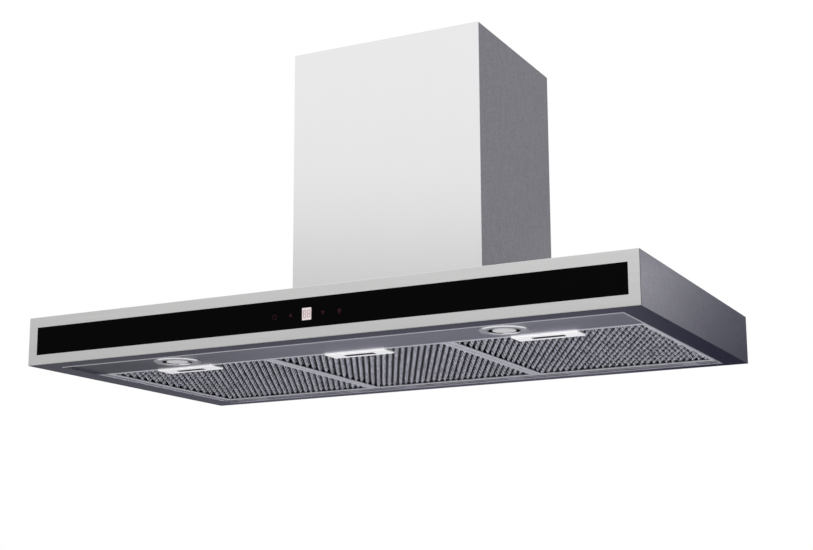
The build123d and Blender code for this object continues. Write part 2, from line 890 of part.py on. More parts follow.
# Blower chassis: a folded box on the canopy, open below and in front, with the wall holes in its back
with BuildPart() as blower_chassis:
    block(-chassis_half, chassis_half, chassis_front_y, 0, canopy_height, chassis_top)
    open_sides = [blower_chassis.faces().sort_by(Axis.Y)[0], blower_chassis.faces().sort_by(Axis.Z)[0]]
    offset(amount=-chassis_sheet, openings=open_sides)
    for side in (-1, 1):
        foot_x = side * (chassis_inner - chassis_foot / 2)
        block(
            foot_x - chassis_foot / 2,
            foot_x + chassis_foot / 2,
            chassis_front_y + chassis_front_return,
            -chassis_sheet,
            canopy_height,
            canopy_height + chassis_sheet,
        )
        return_x = side * (chassis_inner - chassis_front_return / 2)
        block(
            return_x - chassis_front_return / 2,
            return_x + chassis_front_return / 2,
            chassis_front_y,
            chassis_front_y + chassis_sheet,
            canopy_height,
            outlet_plate,
        )
    with BuildSketch(Plane.XY.offset(outlet_plate)):
        with Locations((0, outlet_y)):
            Circle(collar_inner)
        with Locations(*outlet_screw_points):
            Circle(screw_hole)
        with Locations((gland_x, gland_y)):
            Circle(gland_radius)
    extrude(amount=chassis_sheet, mode=Mode.SUBTRACT)
    with BuildSketch(Plane.XZ):
        with Locations((0, canopy_height + wall_hole_base + wall_hole_spacing_z / 2)):
            with GridLocations(wall_hole_spacing_x, wall_hole_spacing_z, 2, 2):
                Circle(wall_hole)
    extrude(amount=chassis_sheet, mode=Mode.SUBTRACT)
    with BuildSketch(Plane.XY.offset(canopy_height)):
        with Locations(*[(x, y) for x, y, z in chassis_screw_points]):
            Circle(screw_hole)
    extrude(amount=chassis_sheet, mode=Mode.SUBTRACT)
    with BuildSketch(Plane.XZ.offset(chassis_depth)):
        with Locations(*cover_screw_points):
            Circle(screw_hole)
    extrude(amount=-chassis_sheet, mode=Mode.SUBTRACT)
blower_chassis.part.label = "blower_chassis"
export_step(blower_chassis.part, "parts/blower_chassis.step")

# Service cover on the chassis's front
with BuildPart() as chassis_cover:
    with BuildSketch(Plane.XZ.offset(chassis_depth)):
        with Locations((0, canopy_height + chassis_height / 2)):
            Rectangle(chassis_width, chassis_height)
        with Locations(*cover_screw_points):
            Circle(screw_hole, mode=Mode.SUBTRACT)
    extrude(amount=chassis_sheet)
chassis_cover.part.label = "chassis_cover"
export_step(chassis_cover.part, "parts/chassis_cover.step")

# Rests: an angle on each side of the chassis that carries the retracted upper cover
with BuildPart() as chimney_rests:
    rest_top = upper_base - upper_rest_gap
    rest_mid_y = chassis_front_y / 2
    for side in (-1, 1):
        with BuildSketch(Plane.XZ.offset(-rest_mid_y)):
            with BuildLine():
                reach_x = upper_width / 2 - rest_play
                Polyline(
                    (side * chassis_half, rest_top - rest_sheet),
                    (side * reach_x, rest_top - rest_sheet),
                    (side * reach_x, rest_top),
                    (side * (chassis_half + rest_sheet), rest_top),
                    (side * (chassis_half + rest_sheet), rest_top + rest_leg),
                    (side * chassis_half, rest_top + rest_leg),
                    close=True,
                )
            make_face()
        extrude(amount=rest_depth / 2, both=True)
chimney_rests.part.label = "chimney_rests"
export_step(chimney_rests.part, "parts/chimney_rests.step")


def scroll_outline(grow):
    # Three quarter turns of growing radius about stepped centres, then two straight throat walls
    left = fan_y - scroll_r1 - grow
    bottom = fan_z - scroll_r2 - grow
    right = throat_rear_y + grow
    knee_y = fan_y + scroll_step
    knee_z = fan_z + scroll_step
    half = math.sqrt(0.5)
    r1 = scroll_r1 + grow
    r2 = scroll_r2 + grow
    r3 = scroll_r3 + grow
    Line((fan_y, outlet_plate), (fan_y, fan_z + r1))
    ThreePointArc((fan_y, fan_z + r1), (fan_y - r1 * half, fan_z + r1 * half), (left, fan_z))
    ThreePointArc((left, fan_z), (knee_y - r2 * half, fan_z - r2 * half), (knee_y, bottom))
    ThreePointArc((knee_y, bottom), (knee_y + r3 * half, knee_z - r3 * half), (right, knee_z))
    Polyline((right, knee_z), (right, outlet_plate), (fan_y, outlet_plate))


# Scroll wrap: the spiral band round the impeller, open at the throat
with BuildPart() as scroll_wrap:
    with BuildSketch(Plane.YZ):
        with BuildLine():
            scroll_outline(scroll_sheet)
        make_face()
        with BuildLine():
            scroll_outline(0)
        make_face(mode=Mode.SUBTRACT)
        with Locations((fan_y - scroll_sheet / 2, (outlet_plate + fan_z + scroll_r1) / 2)):
            Rectangle(scroll_sheet, outlet_plate - fan_z - scroll_r1)
    extrude(amount=scroll_half, both=True)
scroll_wrap.part.label = "scroll_wrap"
export_step(scroll_wrap.part, "parts/scroll_wrap.step")


def make_scroll_plate(side, turn):
    # Side plate: the spiral's shape with a flared inlet and a flange under the outlet plate
    with BuildPart() as plate:
        with BuildSketch(Plane.YZ.offset(turn * scroll_half)):
            with BuildLine():
                scroll_outline(scroll_sheet)
            make_face()
            with Locations((fan_y, fan_z)):
                Circle(inlet_radius, mode=Mode.SUBTRACT)
        extrude(amount=turn * scroll_sheet)
        with BuildSketch(Plane.YZ.offset(turn * scroll_half)):
            with Locations((fan_y, fan_z)):
                Circle(inlet_radius + scroll_sheet)
                Circle(inlet_radius, mode=Mode.SUBTRACT)
        extrude(amount=-turn * (scroll_side_gap - scroll_sheet))
        flange_x = turn * (plate_out + scroll_flange / 2)
        block(
            flange_x - scroll_flange / 2,
            flange_x + scroll_flange / 2,
            fan_y,
            throat_rear_y,
            outlet_plate - scroll_sheet,
            outlet_plate,
        )
        with BuildSketch(Plane.XY.offset(outlet_plate - scroll_sheet)):
            with Locations(*[point for point in outlet_screw_points if point[0] * turn > 0]):
                Circle(screw_hole)
        extrude(amount=scroll_sheet, mode=Mode.SUBTRACT)
    save(plate, f"scroll_{side}_plate")


make_scroll_plate("left", -1)
make_scroll_plate("right", 1)

# Blade section: a thin forward-curved arc between the wheel's inner and outer radius
with BuildSketch() as blade_section:
    with BuildLine():
        lean = math.radians(blade_lean)
        tip_radius = impeller_radius - blade_thickness
        tip_y = tip_radius * math.cos(lean)
        tip_z = tip_radius * math.sin(lean)
        mid_y = (blade_inner + tip_y) / 2
        mid_z = tip_z / 2 - blade_bow
        ThreePointArc((blade_inner, 0), (mid_y, mid_z), (tip_y, tip_z))
        Line((tip_y, tip_z), (tip_y - blade_thickness / 2, tip_z + blade_thickness))
        ThreePointArc(
            (tip_y - blade_thickness / 2, tip_z + blade_thickness),
            (mid_y, mid_z + blade_thickness),
            (blade_inner, blade_thickness),
        )
        Line((blade_inner, blade_thickness), (blade_inner, 0))
    make_face()

# Impeller: a centre disc with a hub, forward-curved blades and a ring at each end
with BuildPart() as impeller_wheel:
    with BuildSketch(Plane.YZ):
        with Locations((fan_y, fan_z)):
            Circle(impeller_radius - blade_thickness)
    extrude(amount=impeller_disc / 2, both=True)
    with BuildSketch(Plane.YZ):
        with Locations((fan_y, fan_z)):
            Circle(hub_radius)
    extrude(amount=hub_length / 2, both=True)
    with BuildSketch(Plane.YZ):
        with Locations((fan_y, fan_z)):
            with PolarLocations(0, blade_count):
                add(blade_section.sketch)
    extrude(amount=impeller_width / 2 - impeller_ring / 2, both=True)
    for turn in (-1, 1):
        with BuildSketch(Plane.YZ.offset(turn * impeller_width / 2)):
            with Locations((fan_y, fan_z)):
                Circle(impeller_radius)
                Circle(impeller_bore, mode=Mode.SUBTRACT)
        extrude(amount=-turn * impeller_ring)
    with BuildSketch(Plane.YZ):
        with Locations((fan_y, fan_z)):
            Circle(shaft_radius)
    extrude(amount=hub_length, both=True, mode=Mode.SUBTRACT)
impeller_wheel.part.label = "impeller_wheel"
export_step(impeller_wheel.part, "parts/impeller_wheel.step")

# Motor shaft, from the nut through the hub to the end cap's bearing
shaft_start = -hub_length / 2 - nut_length - shaft_overhang
shaft_end = motor_end + end_cap_length
with BuildPart() as motor_shaft:
    with BuildSketch(Plane.YZ.offset(shaft_start)):
        with Locations((fan_y, fan_z)):
            Circle(shaft_radius)
    extrude(amount=shaft_end - shaft_start)
motor_shaft.part.label = "motor_shaft"
export_step(motor_shaft.part, "parts/motor_shaft.step")

# Nut that holds the impeller on the shaft
with BuildPart() as impeller_nut:
    with BuildSketch(Plane.YZ.offset(-hub_length / 2)):
        with Locations((fan_y, fan_z)):
            RegularPolygon(nut_radius, 6)
            Circle(shaft_radius, mode=Mode.SUBTRACT)
    extrude(amount=-nut_length)
impeller_nut.part.label = "impeller_nut"
export_step(impeller_nut.part, "parts/impeller_nut.step")

# Motor body: a drawn can with a bevelled nose and a bore for the shaft
with BuildPart() as motor_body:
    with BuildSketch(Plane.YZ.offset(motor_start)):
        with Locations((fan_y, fan_z)):
            Circle(motor_radius)
    extrude(amount=motor_length)
    nose = motor_body.faces().sort_by(Axis.X)[0].edges()
    chamfer(nose, motor_edge)
    with BuildSketch(Plane.YZ.offset(motor_start)):
        with Locations((fan_y, fan_z)):
            Circle(shaft_radius + shaft_fit)
    extrude(amount=motor_length, mode=Mode.SUBTRACT)
motor_body.part.label = "motor_body"
export_step(motor_body.part, "parts/motor_body.step")

# Motor end cap with its bearing boss
with BuildPart() as motor_end_cap:
    with BuildSketch(Plane.YZ.offset(motor_end)):
        with Locations((fan_y, fan_z)):
            Circle(end_cap_radius)
    extrude(amount=end_cap_length)
    cap_edge = motor_end_cap.faces().sort_by(Axis.X)[-1].edges()
    chamfer(cap_edge, motor_edge)
    with BuildSketch(Plane.YZ.offset(motor_end)):
        with Locations((fan_y, fan_z)):
            Circle(end_boss_radius)
    extrude(amount=end_cap_length + end_boss_length)
    with BuildSketch(Plane.YZ.offset(motor_end)):
        with Locations((fan_y, fan_z)):
            Circle(shaft_radius + shaft_fit)
    extrude(amount=end_cap_length + end_boss_length / 2, mode=Mode.SUBTRACT)
motor_end_cap.part.label = "motor_end_cap"
export_step(motor_end_cap.part, "parts/motor_end_cap.step")

# Motor bracket: a band round the can with three arms to the inlet plate
with BuildPart() as motor_bracket:
    with BuildSketch(Plane.YZ.offset(arm_start)):
        with Locations((fan_y, fan_z)):
            Circle(motor_radius + bracket_ring)
            with PolarLocations(0, arm_count, start_angle=90):
                with Locations((arm_reach / 2, 0)):
                    SlotOverall(arm_reach + 2 * mount_radius, bracket_arm)
            Circle(motor_radius, mode=Mode.SUBTRACT)
            with PolarLocations(arm_reach, arm_count, start_angle=90):
                Circle(screw_hole, mode=Mode.SUBTRACT)
    extrude(amount=bracket_arm_sheet)
    with BuildSketch(Plane.YZ.offset(arm_start)):
        with Locations((fan_y, fan_z)):
            Circle(motor_radius + bracket_ring)
            Circle(motor_radius, mode=Mode.SUBTRACT)
    extrude(amount=bracket_ring_length)
motor_bracket.part.label = "motor_bracket"
export_step(motor_bracket.part, "parts/motor_bracket.step")

# Rubber mounts between the bracket's arms and the inlet plate
with BuildPart() as motor_mounts:
    with BuildSketch(Plane.YZ.offset(plate_out)):
        with Locations((fan_y, fan_z)):
            with PolarLocations(arm_reach, arm_count, start_angle=90):
                Circle(mount_radius)
                Circle(screw_radius, mode=Mode.SUBTRACT)
    extrude(amount=mount_length)
motor_mounts.part.label = "motor_mounts"
export_step(motor_mounts.part, "parts/motor_mounts.step")

# Run capacitor on the chassis's left wall
with BuildPart() as capacitor:
    with BuildSketch(Plane.YZ.offset(-chassis_inner)):
        with Locations((-capacitor_setback, outlet_plate - capacitor_drop)):
            Circle(capacitor_radius)
    extrude(amount=capacitor_length)
    can_rim = capacitor.faces().sort_by(Axis.X)[-1].edges()
    chamfer(can_rim, capacitor_edge)
capacitor.part.label = "capacitor"
export_step(capacitor.part, "parts/capacitor.step")

# Power box on the canopy's ceiling, open below, and its lid
with BuildPart() as power_box:
    block(
        box_x - box_width / 2,
        box_x + box_width / 2,
        box_y - box_depth / 2,
        box_y + box_depth / 2,
        ceiling - box_height,
        ceiling,
    )
    box_mouth = power_box.faces().sort_by(Axis.Z)[0]
    offset(amount=-box_wall, openings=box_mouth)
power_box.part.label = "power_box"
export_step(power_box.part, "parts/power_box.step")

with BuildPart() as power_box_lid:
    with BuildSketch(Plane.XY.offset(ceiling - box_height)):
        with Locations((box_x, box_y)):
            RectangleRounded(box_width, box_depth, box_wall)
    extrude(amount=-lid_thickness)
power_box_lid.part.label = "power_box_lid"
export_step(power_box_lid.part, "parts/power_box_lid.step")

# Lamp driver: a sealed module on the ceiling
with BuildPart() as lamp_driver:
    with BuildSketch(Plane.XY.offset(ceiling)):
        with Locations((driver_x, driver_y)):
            RectangleRounded(driver_width, driver_depth, box_wall)
    extrude(amount=-driver_height)
lamp_driver.part.label = "lamp_driver"
export_step(lamp_driver.part, "parts/lamp_driver.step")

# Cable gland in the outlet plate
with BuildPart() as cable_gland:
    with BuildSketch(Plane.XY.offset(outlet_plate - gland_stub)):
        with Locations((gland_x, gland_y)):
            Circle(gland_radius)
    extrude(amount=gland_stub + chassis_sheet)
    with BuildSketch(Plane.XY.offset(chassis_top)):
        with Locations((gland_x, gland_y)):
            RegularPolygon(gland_radius + gland_flange, 6)
    extrude(amount=gland_flange)
    with BuildSketch(Plane.XY.offset(chassis_top + gland_flange)):
        with Locations((gland_x, gland_y)):
            Circle(gland_radius)
    extrude(amount=gland_dome)
    gland_tip = cable_gland.faces().sort_by(Axis.Z)[-1].edges()
    chamfer(gland_tip, gland_edge)
    with BuildSketch(Plane.XY.offset(outlet_plate - gland_stub)):
        with Locations((gland_x, gland_y)):
            Circle(gland_bore)
    extrude(amount=gland_stub + chassis_sheet + gland_flange + gland_dome, mode=Mode.SUBTRACT)
cable_gland.part.label = "cable_gland"
export_step(cable_gland.part, "parts/cable_gland.step")

# Duct collar: a turned ring with a foot flange, a seat for the damper and two pin bosses
collar_top = collar_base + collar_height
seat_z = damper_z - flap_sheet / 2 - damper_seat_gap
with BuildPart() as outlet_collar:
    collar_section = Plane(origin=(0, outlet_y, 0), x_dir=(1, 0, 0), z_dir=(0, -1, 0))
    with BuildSketch(collar_section):
        with BuildLine():
            Polyline(
                (collar_inner, collar_base),
                (collar_radius + collar_flange, collar_base),
                (collar_radius + collar_flange, collar_base + collar_wall),
                (collar_radius, collar_base + collar_wall),
                (collar_radius, collar_top - collar_lead),
                (collar_radius - collar_wall / 2, collar_top),
                (collar_inner, collar_top),
                (collar_inner, seat_z),
                (collar_inner - damper_seat, seat_z),
                (collar_inner - damper_seat, seat_z - collar_wall),
                (collar_inner, seat_z - collar_wall),
                close=True,
            )
        make_face()
    revolve(axis=Axis((0, outlet_y, 0), (0, 0, 1)))
    for turn in (-1, 1):
        with BuildSketch(Plane.XZ.offset(-outlet_y + turn * (collar_inner - boss_length))):
            with Locations((0, damper_z)):
                Circle(boss_radius)
        extrude(amount=turn * (boss_length + boss_root))
    with BuildSketch(Plane.XZ.offset(-outlet_y)):
        with Locations((0, damper_z)):
            Circle(damper_pin_radius + damper_pin_play)
    extrude(amount=collar_inner, both=True, mode=Mode.SUBTRACT)
    with Locations(*[(x, y, collar_base) for x, y in outlet_screw_points]):
        Cylinder(screw_hole, 4 * collar_wall, mode=Mode.SUBTRACT)
outlet_collar.part.label = "outlet_collar"
export_step(outlet_collar.part, "parts/outlet_collar.step")

# Damper pin across the collar
with BuildPart() as damper_pin:
    with BuildSketch(Plane.XZ.offset(-outlet_y)):
        with Locations((0, damper_z)):
            Circle(damper_pin_radius)
    extrude(amount=collar_inner - damper_pin_play, both=True)
damper_pin.part.label = "damper_pin"
export_step(damper_pin.part, "parts/damper_pin.step")


def make_flap(side, turn):
    # Flap: a half disc whose two knuckles turn on the pin, notched for its partner's knuckles
    knuckle_starts = (knuckle_gap / 2, -knuckle_gap * 1.5 - 2 * knuckle_length)
    with BuildPart() as flap:
        with BuildSketch(Plane.XY.offset(damper_z - flap_sheet / 2)):
            with Locations((0, outlet_y)):
                Circle(flap_radius)
            with Locations((turn * (flap_root - flap_radius), outlet_y)):
                Rectangle(2 * flap_radius, 2 * flap_radius, mode=Mode.SUBTRACT)
        extrude(amount=flap_sheet)
        for start in knuckle_starts:
            middle = outlet_y + turn * (start + knuckle_length / 2)
            with BuildSketch(Plane.XZ.offset(-middle)):
                with Locations((0, damper_z)):
                    Circle(knuckle_radius)
                with Locations((turn * flap_root / 2, damper_z)):
                    Rectangle(flap_root, flap_sheet)
            extrude(amount=knuckle_length / 2, both=True)
        with BuildSketch(Plane.XZ.offset(-outlet_y)):
            with Locations((0, damper_z)):
                Circle(damper_pin_radius + damper_pin_play)
        extrude(amount=flap_radius, both=True, mode=Mode.SUBTRACT)
    save(flap, f"damper_{side}_flap")


make_flap("left", -1)
make_flap("right", 1)

# Roof screws: up through the canopy's top into the chimney's foot and the chassis's feet
with BuildPart() as roof_screws:
    with Locations(*roof_screw_points):
        Cylinder(screw_head_radius, screw_head, align=(Align.CENTER, Align.CENTER, Align.MAX))
        Cylinder(screw_radius, screw_length, align=(Align.CENTER, Align.CENTER, Align.MIN))
roof_screws.part.label = "roof_screws"
export_step(roof_screws.part, "parts/roof_screws.step")

# Blower screws: down through the collar, the outlet plate and the scroll, and through the motor's arms
with BuildPart() as blower_screws:
    with Locations(*[(x, y, collar_base + collar_wall) for x, y in outlet_screw_points]):
        Cylinder(screw_head_radius, screw_head, align=(Align.CENTER, Align.CENTER, Align.MIN))
        Cylinder(screw_radius, screw_length, align=(Align.CENTER, Align.CENTER, Align.MAX))
    with BuildSketch(Plane.YZ.offset(arm_start + bracket_arm_sheet)):
        with Locations((fan_y, fan_z)):
            with PolarLocations(arm_reach, arm_count, start_angle=90):
                Circle(screw_head_radius)
    extrude(amount=screw_head)
    with BuildSketch(Plane.YZ.offset(plate_out)):
        with Locations((fan_y, fan_z)):
            with PolarLocations(arm_reach, arm_count, start_angle=90):
                Circle(screw_radius)
    extrude(amount=mount_length + bracket_arm_sheet)
blower_screws.part.label = "blower_screws"
export_step(blower_screws.part, "parts/blower_screws.step")

# Cover screws: through the service cover into the chassis's front returns
with BuildPart() as cover_screws:
    with BuildSketch(Plane.XZ.offset(chassis_depth + chassis_sheet)):
        with Locations(*cover_screw_points):
            Circle(screw_head_radius)
    extrude(amount=screw_head)
    with BuildSketch(Plane.XZ.offset(chassis_depth + chassis_sheet)):
        with Locations(*cover_screw_points):
            Circle(screw_radius)
    extrude(amount=-screw_length)
cover_screws.part.label = "cover_screws"
export_step(cover_screws.part, "parts/cover_screws.step")
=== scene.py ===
import bpy, json, math
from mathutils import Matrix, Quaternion, Vector


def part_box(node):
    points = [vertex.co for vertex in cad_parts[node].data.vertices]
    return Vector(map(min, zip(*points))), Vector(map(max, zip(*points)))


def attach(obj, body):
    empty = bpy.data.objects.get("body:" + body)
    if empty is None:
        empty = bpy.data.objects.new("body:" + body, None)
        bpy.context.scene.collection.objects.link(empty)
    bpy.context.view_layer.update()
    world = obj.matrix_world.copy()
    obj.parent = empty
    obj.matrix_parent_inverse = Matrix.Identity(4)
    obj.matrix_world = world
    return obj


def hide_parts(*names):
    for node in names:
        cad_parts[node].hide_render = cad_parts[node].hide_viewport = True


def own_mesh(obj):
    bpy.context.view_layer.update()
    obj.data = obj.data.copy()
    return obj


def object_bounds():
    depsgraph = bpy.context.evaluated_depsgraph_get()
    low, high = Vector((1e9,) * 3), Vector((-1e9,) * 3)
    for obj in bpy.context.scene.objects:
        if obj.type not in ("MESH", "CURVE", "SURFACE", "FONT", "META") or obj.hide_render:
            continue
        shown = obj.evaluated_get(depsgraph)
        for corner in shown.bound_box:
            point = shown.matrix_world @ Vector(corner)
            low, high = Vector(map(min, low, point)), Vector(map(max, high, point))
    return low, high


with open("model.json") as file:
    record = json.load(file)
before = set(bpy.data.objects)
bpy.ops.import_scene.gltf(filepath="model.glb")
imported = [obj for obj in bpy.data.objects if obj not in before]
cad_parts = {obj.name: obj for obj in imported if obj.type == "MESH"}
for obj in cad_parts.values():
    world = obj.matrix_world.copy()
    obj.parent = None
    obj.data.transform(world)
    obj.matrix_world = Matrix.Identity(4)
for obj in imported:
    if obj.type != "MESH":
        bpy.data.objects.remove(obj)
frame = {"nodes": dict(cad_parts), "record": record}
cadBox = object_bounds()
cadNodes = frame["nodes"]
scene = bpy.context.scene
scene.view_settings.view_transform = "Standard"
filterSides = ("left", "middle", "right")
print("frame loaded:", len(cadNodes), "nodes")


class Wire:  # a socket that can take part in sums
    def __init__(self, graph, socket):
        self.graph, self.socket = graph, socket

    def __add__(self, other): return self.graph.maths("ADD", self, other)
    def __radd__(self, other): return self.graph.maths("ADD", other, self)
    def __sub__(self, other): return self.graph.maths("SUBTRACT", self, other)
    def __rsub__(self, other): return self.graph.maths("SUBTRACT", other, self)
    def __mul__(self, other): return self.graph.maths("MULTIPLY", self, other)
    def __rmul__(self, other): return self.graph.maths("MULTIPLY", other, self)
    def __truediv__(self, other): return self.graph.maths("DIVIDE", self, other)
    def __rtruediv__(self, other): return self.graph.maths("DIVIDE", other, self)
    def __gt__(self, other): return self.graph.maths("GREATER_THAN", self, other)
    def __lt__(self, other): return self.graph.maths("LESS_THAN", self, other)
    def __abs__(self): return self.graph.maths("ABSOLUTE", self)


class Graph:  # one node tree and the single way nodes are put into it
    def __init__(self, tree):
        self.tree = tree

    def feed(self, socket, value):
        if isinstance(value, list):
            for wire in reversed(value):
                self.tree.links.new(wire.socket, socket)
        elif isinstance(value, Wire):
            self.tree.links.new(value.socket, socket)
        else:
            socket.default_value = value

    def add(self, kind, settings=None, inputs=None, output=0):
        node = self.tree.nodes.new(kind)
        for key, value in (settings or {}).items():
            setattr(node, key, value)
        for key, value in (inputs or {}).items():
            self.feed(node.inputs[key], value)
        return None if output is None else Wire(self, node.outputs[output])

    def maths(self, operation, *values):
        return self.add("ShaderNodeMath", {"operation": operation}, dict(enumerate(values)))

    def vector(self, x, y, z):
        return self.add("ShaderNodeCombineXYZ", inputs={0: x, 1: y, 2: z})

    def axes(self, vector, *numbers):  # X, Y and Z are 0, 1 and 2
        return [self.add("ShaderNodeSeparateXYZ", inputs={0: vector}, output=number) for number in numbers]

    def ramp(self, value, start, end, first, last):
        return self.add("ShaderNodeMapRange", {"interpolation_type": "SMOOTHSTEP"},
                        {0: value, 1: start, 2: end, 3: first, 4: last})

    def mixColour(self, factor, first, second):
        return self.add("ShaderNodeMix", {"data_type": "RGBA"}, {0: factor, 6: first, 7: second}, 2)


class Finish(Graph):  # a material round one Principled shader
    def __init__(self, name, plain):
        self.material = bpy.data.materials.new(name)
        self.material.use_nodes = True
        super().__init__(self.material.node_tree)
        self.shader = self.tree.nodes["Principled BSDF"]
        self.set(plain)

    def set(self, values):
        for key, value in values.items():
            self.feed(self.shader.inputs[key], value)

    def place(self):
        return self.add("ShaderNodeTexCoord", output="Object")

    def noise(self, size, detail=2, rough=0.5, stretch=(1, 1, 1)):
        spot = self.add("ShaderNodeMapping", inputs={"Vector": self.place(), "Scale": stretch})
        return self.add("ShaderNodeTexNoise", inputs={
            "Vector": spot, "Scale": size, "Detail": detail, "Roughness": rough})

    def bump(self, height, strength, depth):
        self.set({"Normal": self.add("ShaderNodeBump", inputs={
            "Strength": strength, "Distance": depth, "Height": height})})


class Shape(Graph):  # a Geometry Nodes tree
    def line(self, count, start, step):
        return self.add("GeometryNodeMeshLine", inputs={
            "Count": count, "Start Location": start, "Offset": step})

    def shift(self, points, offset):
        return self.add("GeometryNodeSetPosition", inputs={0: points, "Offset": offset})

    def repeat(self, points, piece):
        return self.add("GeometryNodeInstanceOnPoints", inputs={"Points": points, "Instance": piece})

    def block(self, x, y, z):
        return self.add("GeometryNodeMeshCube", inputs={0: self.vector(x, y, z)})

    def disc(self, sides, radius, depth):
        return self.add("GeometryNodeMeshCylinder", inputs={"Vertices": sides, "Radius": radius, "Depth": depth})

    def move(self, piece, x, y, z, turn=(0, 0, 0)):
        return self.add("GeometryNodeTransform", inputs={
            0: piece, "Translation": self.vector(x, y, z), "Rotation": turn})

    def join(self, *pieces):
        return self.add("GeometryNodeJoinGeometry", inputs={0: list(pieces)})

    def oblong(self, width, height):
        return self.add("GeometryNodeCurvePrimitiveQuadrilateral", inputs={"Width": width, "Height": height})

    def upright(self, path):  # a section swept along it stands level
        return self.add("GeometryNodeSetCurveNormal", {"mode": "Z_UP"}, {0: path})

    def sweep(self, path, section, caps=False):
        return self.add("GeometryNodeCurveToMesh", inputs={0: path, 1: section, "Fill Caps": caps})


def grey(value):
    return (value, value, value, 1.0)


def blend(first, second, share):
    return first + share * (second - first)


def middleOf(name):
    return [(low + high) / 2 for low, high in zip(*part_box(name))]


# camera fitted to the corners of the canopy, the glass and the chimney
cameraLook = {
    "place": (0.99108, -2.13214, -0.34754), "yaw": -25.225, "pitch": 11.467, "roll": -0.652,
    "lens": 67.47, "sensor": 36.0, "shift": (-0.05984, 0.03699), "clip": (0.05, 60.0),
}


def makeCamera(look):
    yaw, pitch = math.radians(look["yaw"]), math.radians(look["pitch"])
    ahead = Vector((math.sin(yaw) * math.cos(pitch), math.cos(yaw) * math.cos(pitch), math.sin(pitch)))
    data = bpy.data.cameras.new("photoCamera")
    data.lens, data.sensor_width, data.sensor_fit = look["lens"], look["sensor"], "HORIZONTAL"
    data.clip_start, data.clip_end = look["clip"]
    data.shift_x, data.shift_y = look["shift"]
    camera = bpy.data.objects.new("photoCamera", data)
    camera.location = look["place"]
    level = ahead.to_track_quat("-Z", "Y")
    camera.rotation_euler = (level @ Quaternion((0, 0, 1), math.radians(look["roll"]))).to_euler()
    scene.collection.objects.link(camera)
    scene.camera = camera


makeCamera(cameraLook)
print("camera placed")

# white room, darker under the horizon, with one dark flag behind the hood that its right sides mirror
# and a low strip of light at the flag's right edge; the pairs are where each of them fades in or out
roomLook = {
    "upper": 0.985, "rise": (0.195, 0.262), "wall": 0.58, "edge": (-0.02, 0.09),
    "below": (0.125, 0.035), "belowTurn": (-0.345, -0.255), "belowCool": 0.16,
    "flag": 0.225, "flagWay": (0.137, 0.975, 0.174), "flagReach": (0.50, 0.90), "flagCool": 0.022,
    "horizon": (0.10, 0.255), "core": 0.44, "coreReach": (0.978, 0.996),
    "strip": 0.58, "stripNear": (0.256, 0.326), "stripFar": (0.326, 0.360), "stripTop": (0.215, 0.250),
}


def makeRoom(look):
    world = bpy.data.worlds.new("studio")
    scene.world = world
    world.use_nodes = True
    room = Graph(world.node_tree)
    room.tree.nodes.clear()
    way = room.add("ShaderNodeTexCoord", output="Generated")
    across, up = room.axes(way, 0, 2)
    below = room.ramp(across, *look["belowTurn"], *look["below"])
    above = room.ramp(up, *look["edge"], 0.0, 1.0)
    rise = room.ramp(up, *look["rise"], 0.0, look["upper"] - look["wall"])
    plain = blend(below, look["wall"], above) + rise
    towards = Vector(look["flagWay"]).normalized()
    near = room.add("ShaderNodeVectorMath", {"operation": "DOT_PRODUCT"}, {0: way, 1: towards}, "Value")
    shade = room.ramp(near, *look["flagReach"], 0.0, 1.0)
    core = room.ramp(near, *look["coreReach"], 1.0, look["core"])
    height = room.ramp(up, *look["horizon"], 0.0, 1.0)
    flagged = blend(plain, blend(below, core * look["flag"], height), shade)
    strip = room.ramp(across, *look["stripNear"], 0.0, 1.0) * room.ramp(across, *look["stripFar"], 1.0, 0.0)
    strip = strip * room.ramp(up, *look["stripTop"], 1.0, 0.0) * (height * shade)
    flagged = blend(flagged, look["strip"], strip)
    seen, glossy, through = (
        room.add("ShaderNodeLightPath", output=f"Is {ray} Ray") for ray in ("Camera", "Glossy", "Transmission"))
    mirrored = glossy + through
    level = blend(plain, flagged, mirrored)
    cool = level + mirrored * (look["flagCool"] * shade + look["belowCool"] * below * (1.0 - above))
    level, cool = (blend(value, 1.0, seen) for value in (level, cool))  # the backdrop itself is plain white
    tone = room.add("ShaderNodeCombineColor", inputs={0: level, 1: level, 2: cool})
    light = room.add("ShaderNodeBackground", inputs={"Color": tone, "Strength": 1.0})
    room.add("ShaderNodeOutputWorld", inputs={"Surface": light}, output=None)


floorLook = {"place": (0, -0.3, -2.6), "radius": 4.0, "sides": 96, "tones": (0.78, 0.82), "cloud": 1.4, "rough": 0.7}


def makeFloor(look):
    bpy.ops.mesh.primitive_circle_add(
        vertices=look["sides"], radius=look["radius"], fill_type="NGON", location=look["place"])
    floor = bpy.context.object
    floor.name = "floor"
    paint = Finish("floorPaint", {"Roughness": look["rough"]})
    mottle = paint.noise(look["cloud"], detail=3)
    paint.set({"Base Color": paint.mixColour(mottle, *map(grey, look["tones"]))})
    floor.data.materials.append(paint.material)


# the low lamp is kept out of mirrors, because it would blow out the polished ends
lampLooks = {
    "topSoftbox": {
        "place": (0.6, -0.9, 4.4), "aim": (0.2, -0.3, 0.2), "size": (3.6, 2.7), "power": 5, "mirrored": True},
    "lowFill": {
        "place": (1.3, -2.9, -2.3), "aim": (1.3, -2.9, 0.0), "size": (2.4, 1.2), "power": 172, "mirrored": False},
}


def makeLamp(name, look):
    data = bpy.data.lights.new(name, "AREA")
    data.shape, data.size, data.size_y, data.energy = "RECTANGLE", *look["size"], look["power"]
    lamp = bpy.data.objects.new(name, data)
    lamp.visible_glossy = look["mirrored"]
    lamp.location = look["place"]
    lamp.rotation_euler = (Vector(look["aim"]) - Vector(look["place"])).to_track_quat("-Z", "Y").to_euler()
    scene.collection.objects.link(lamp)


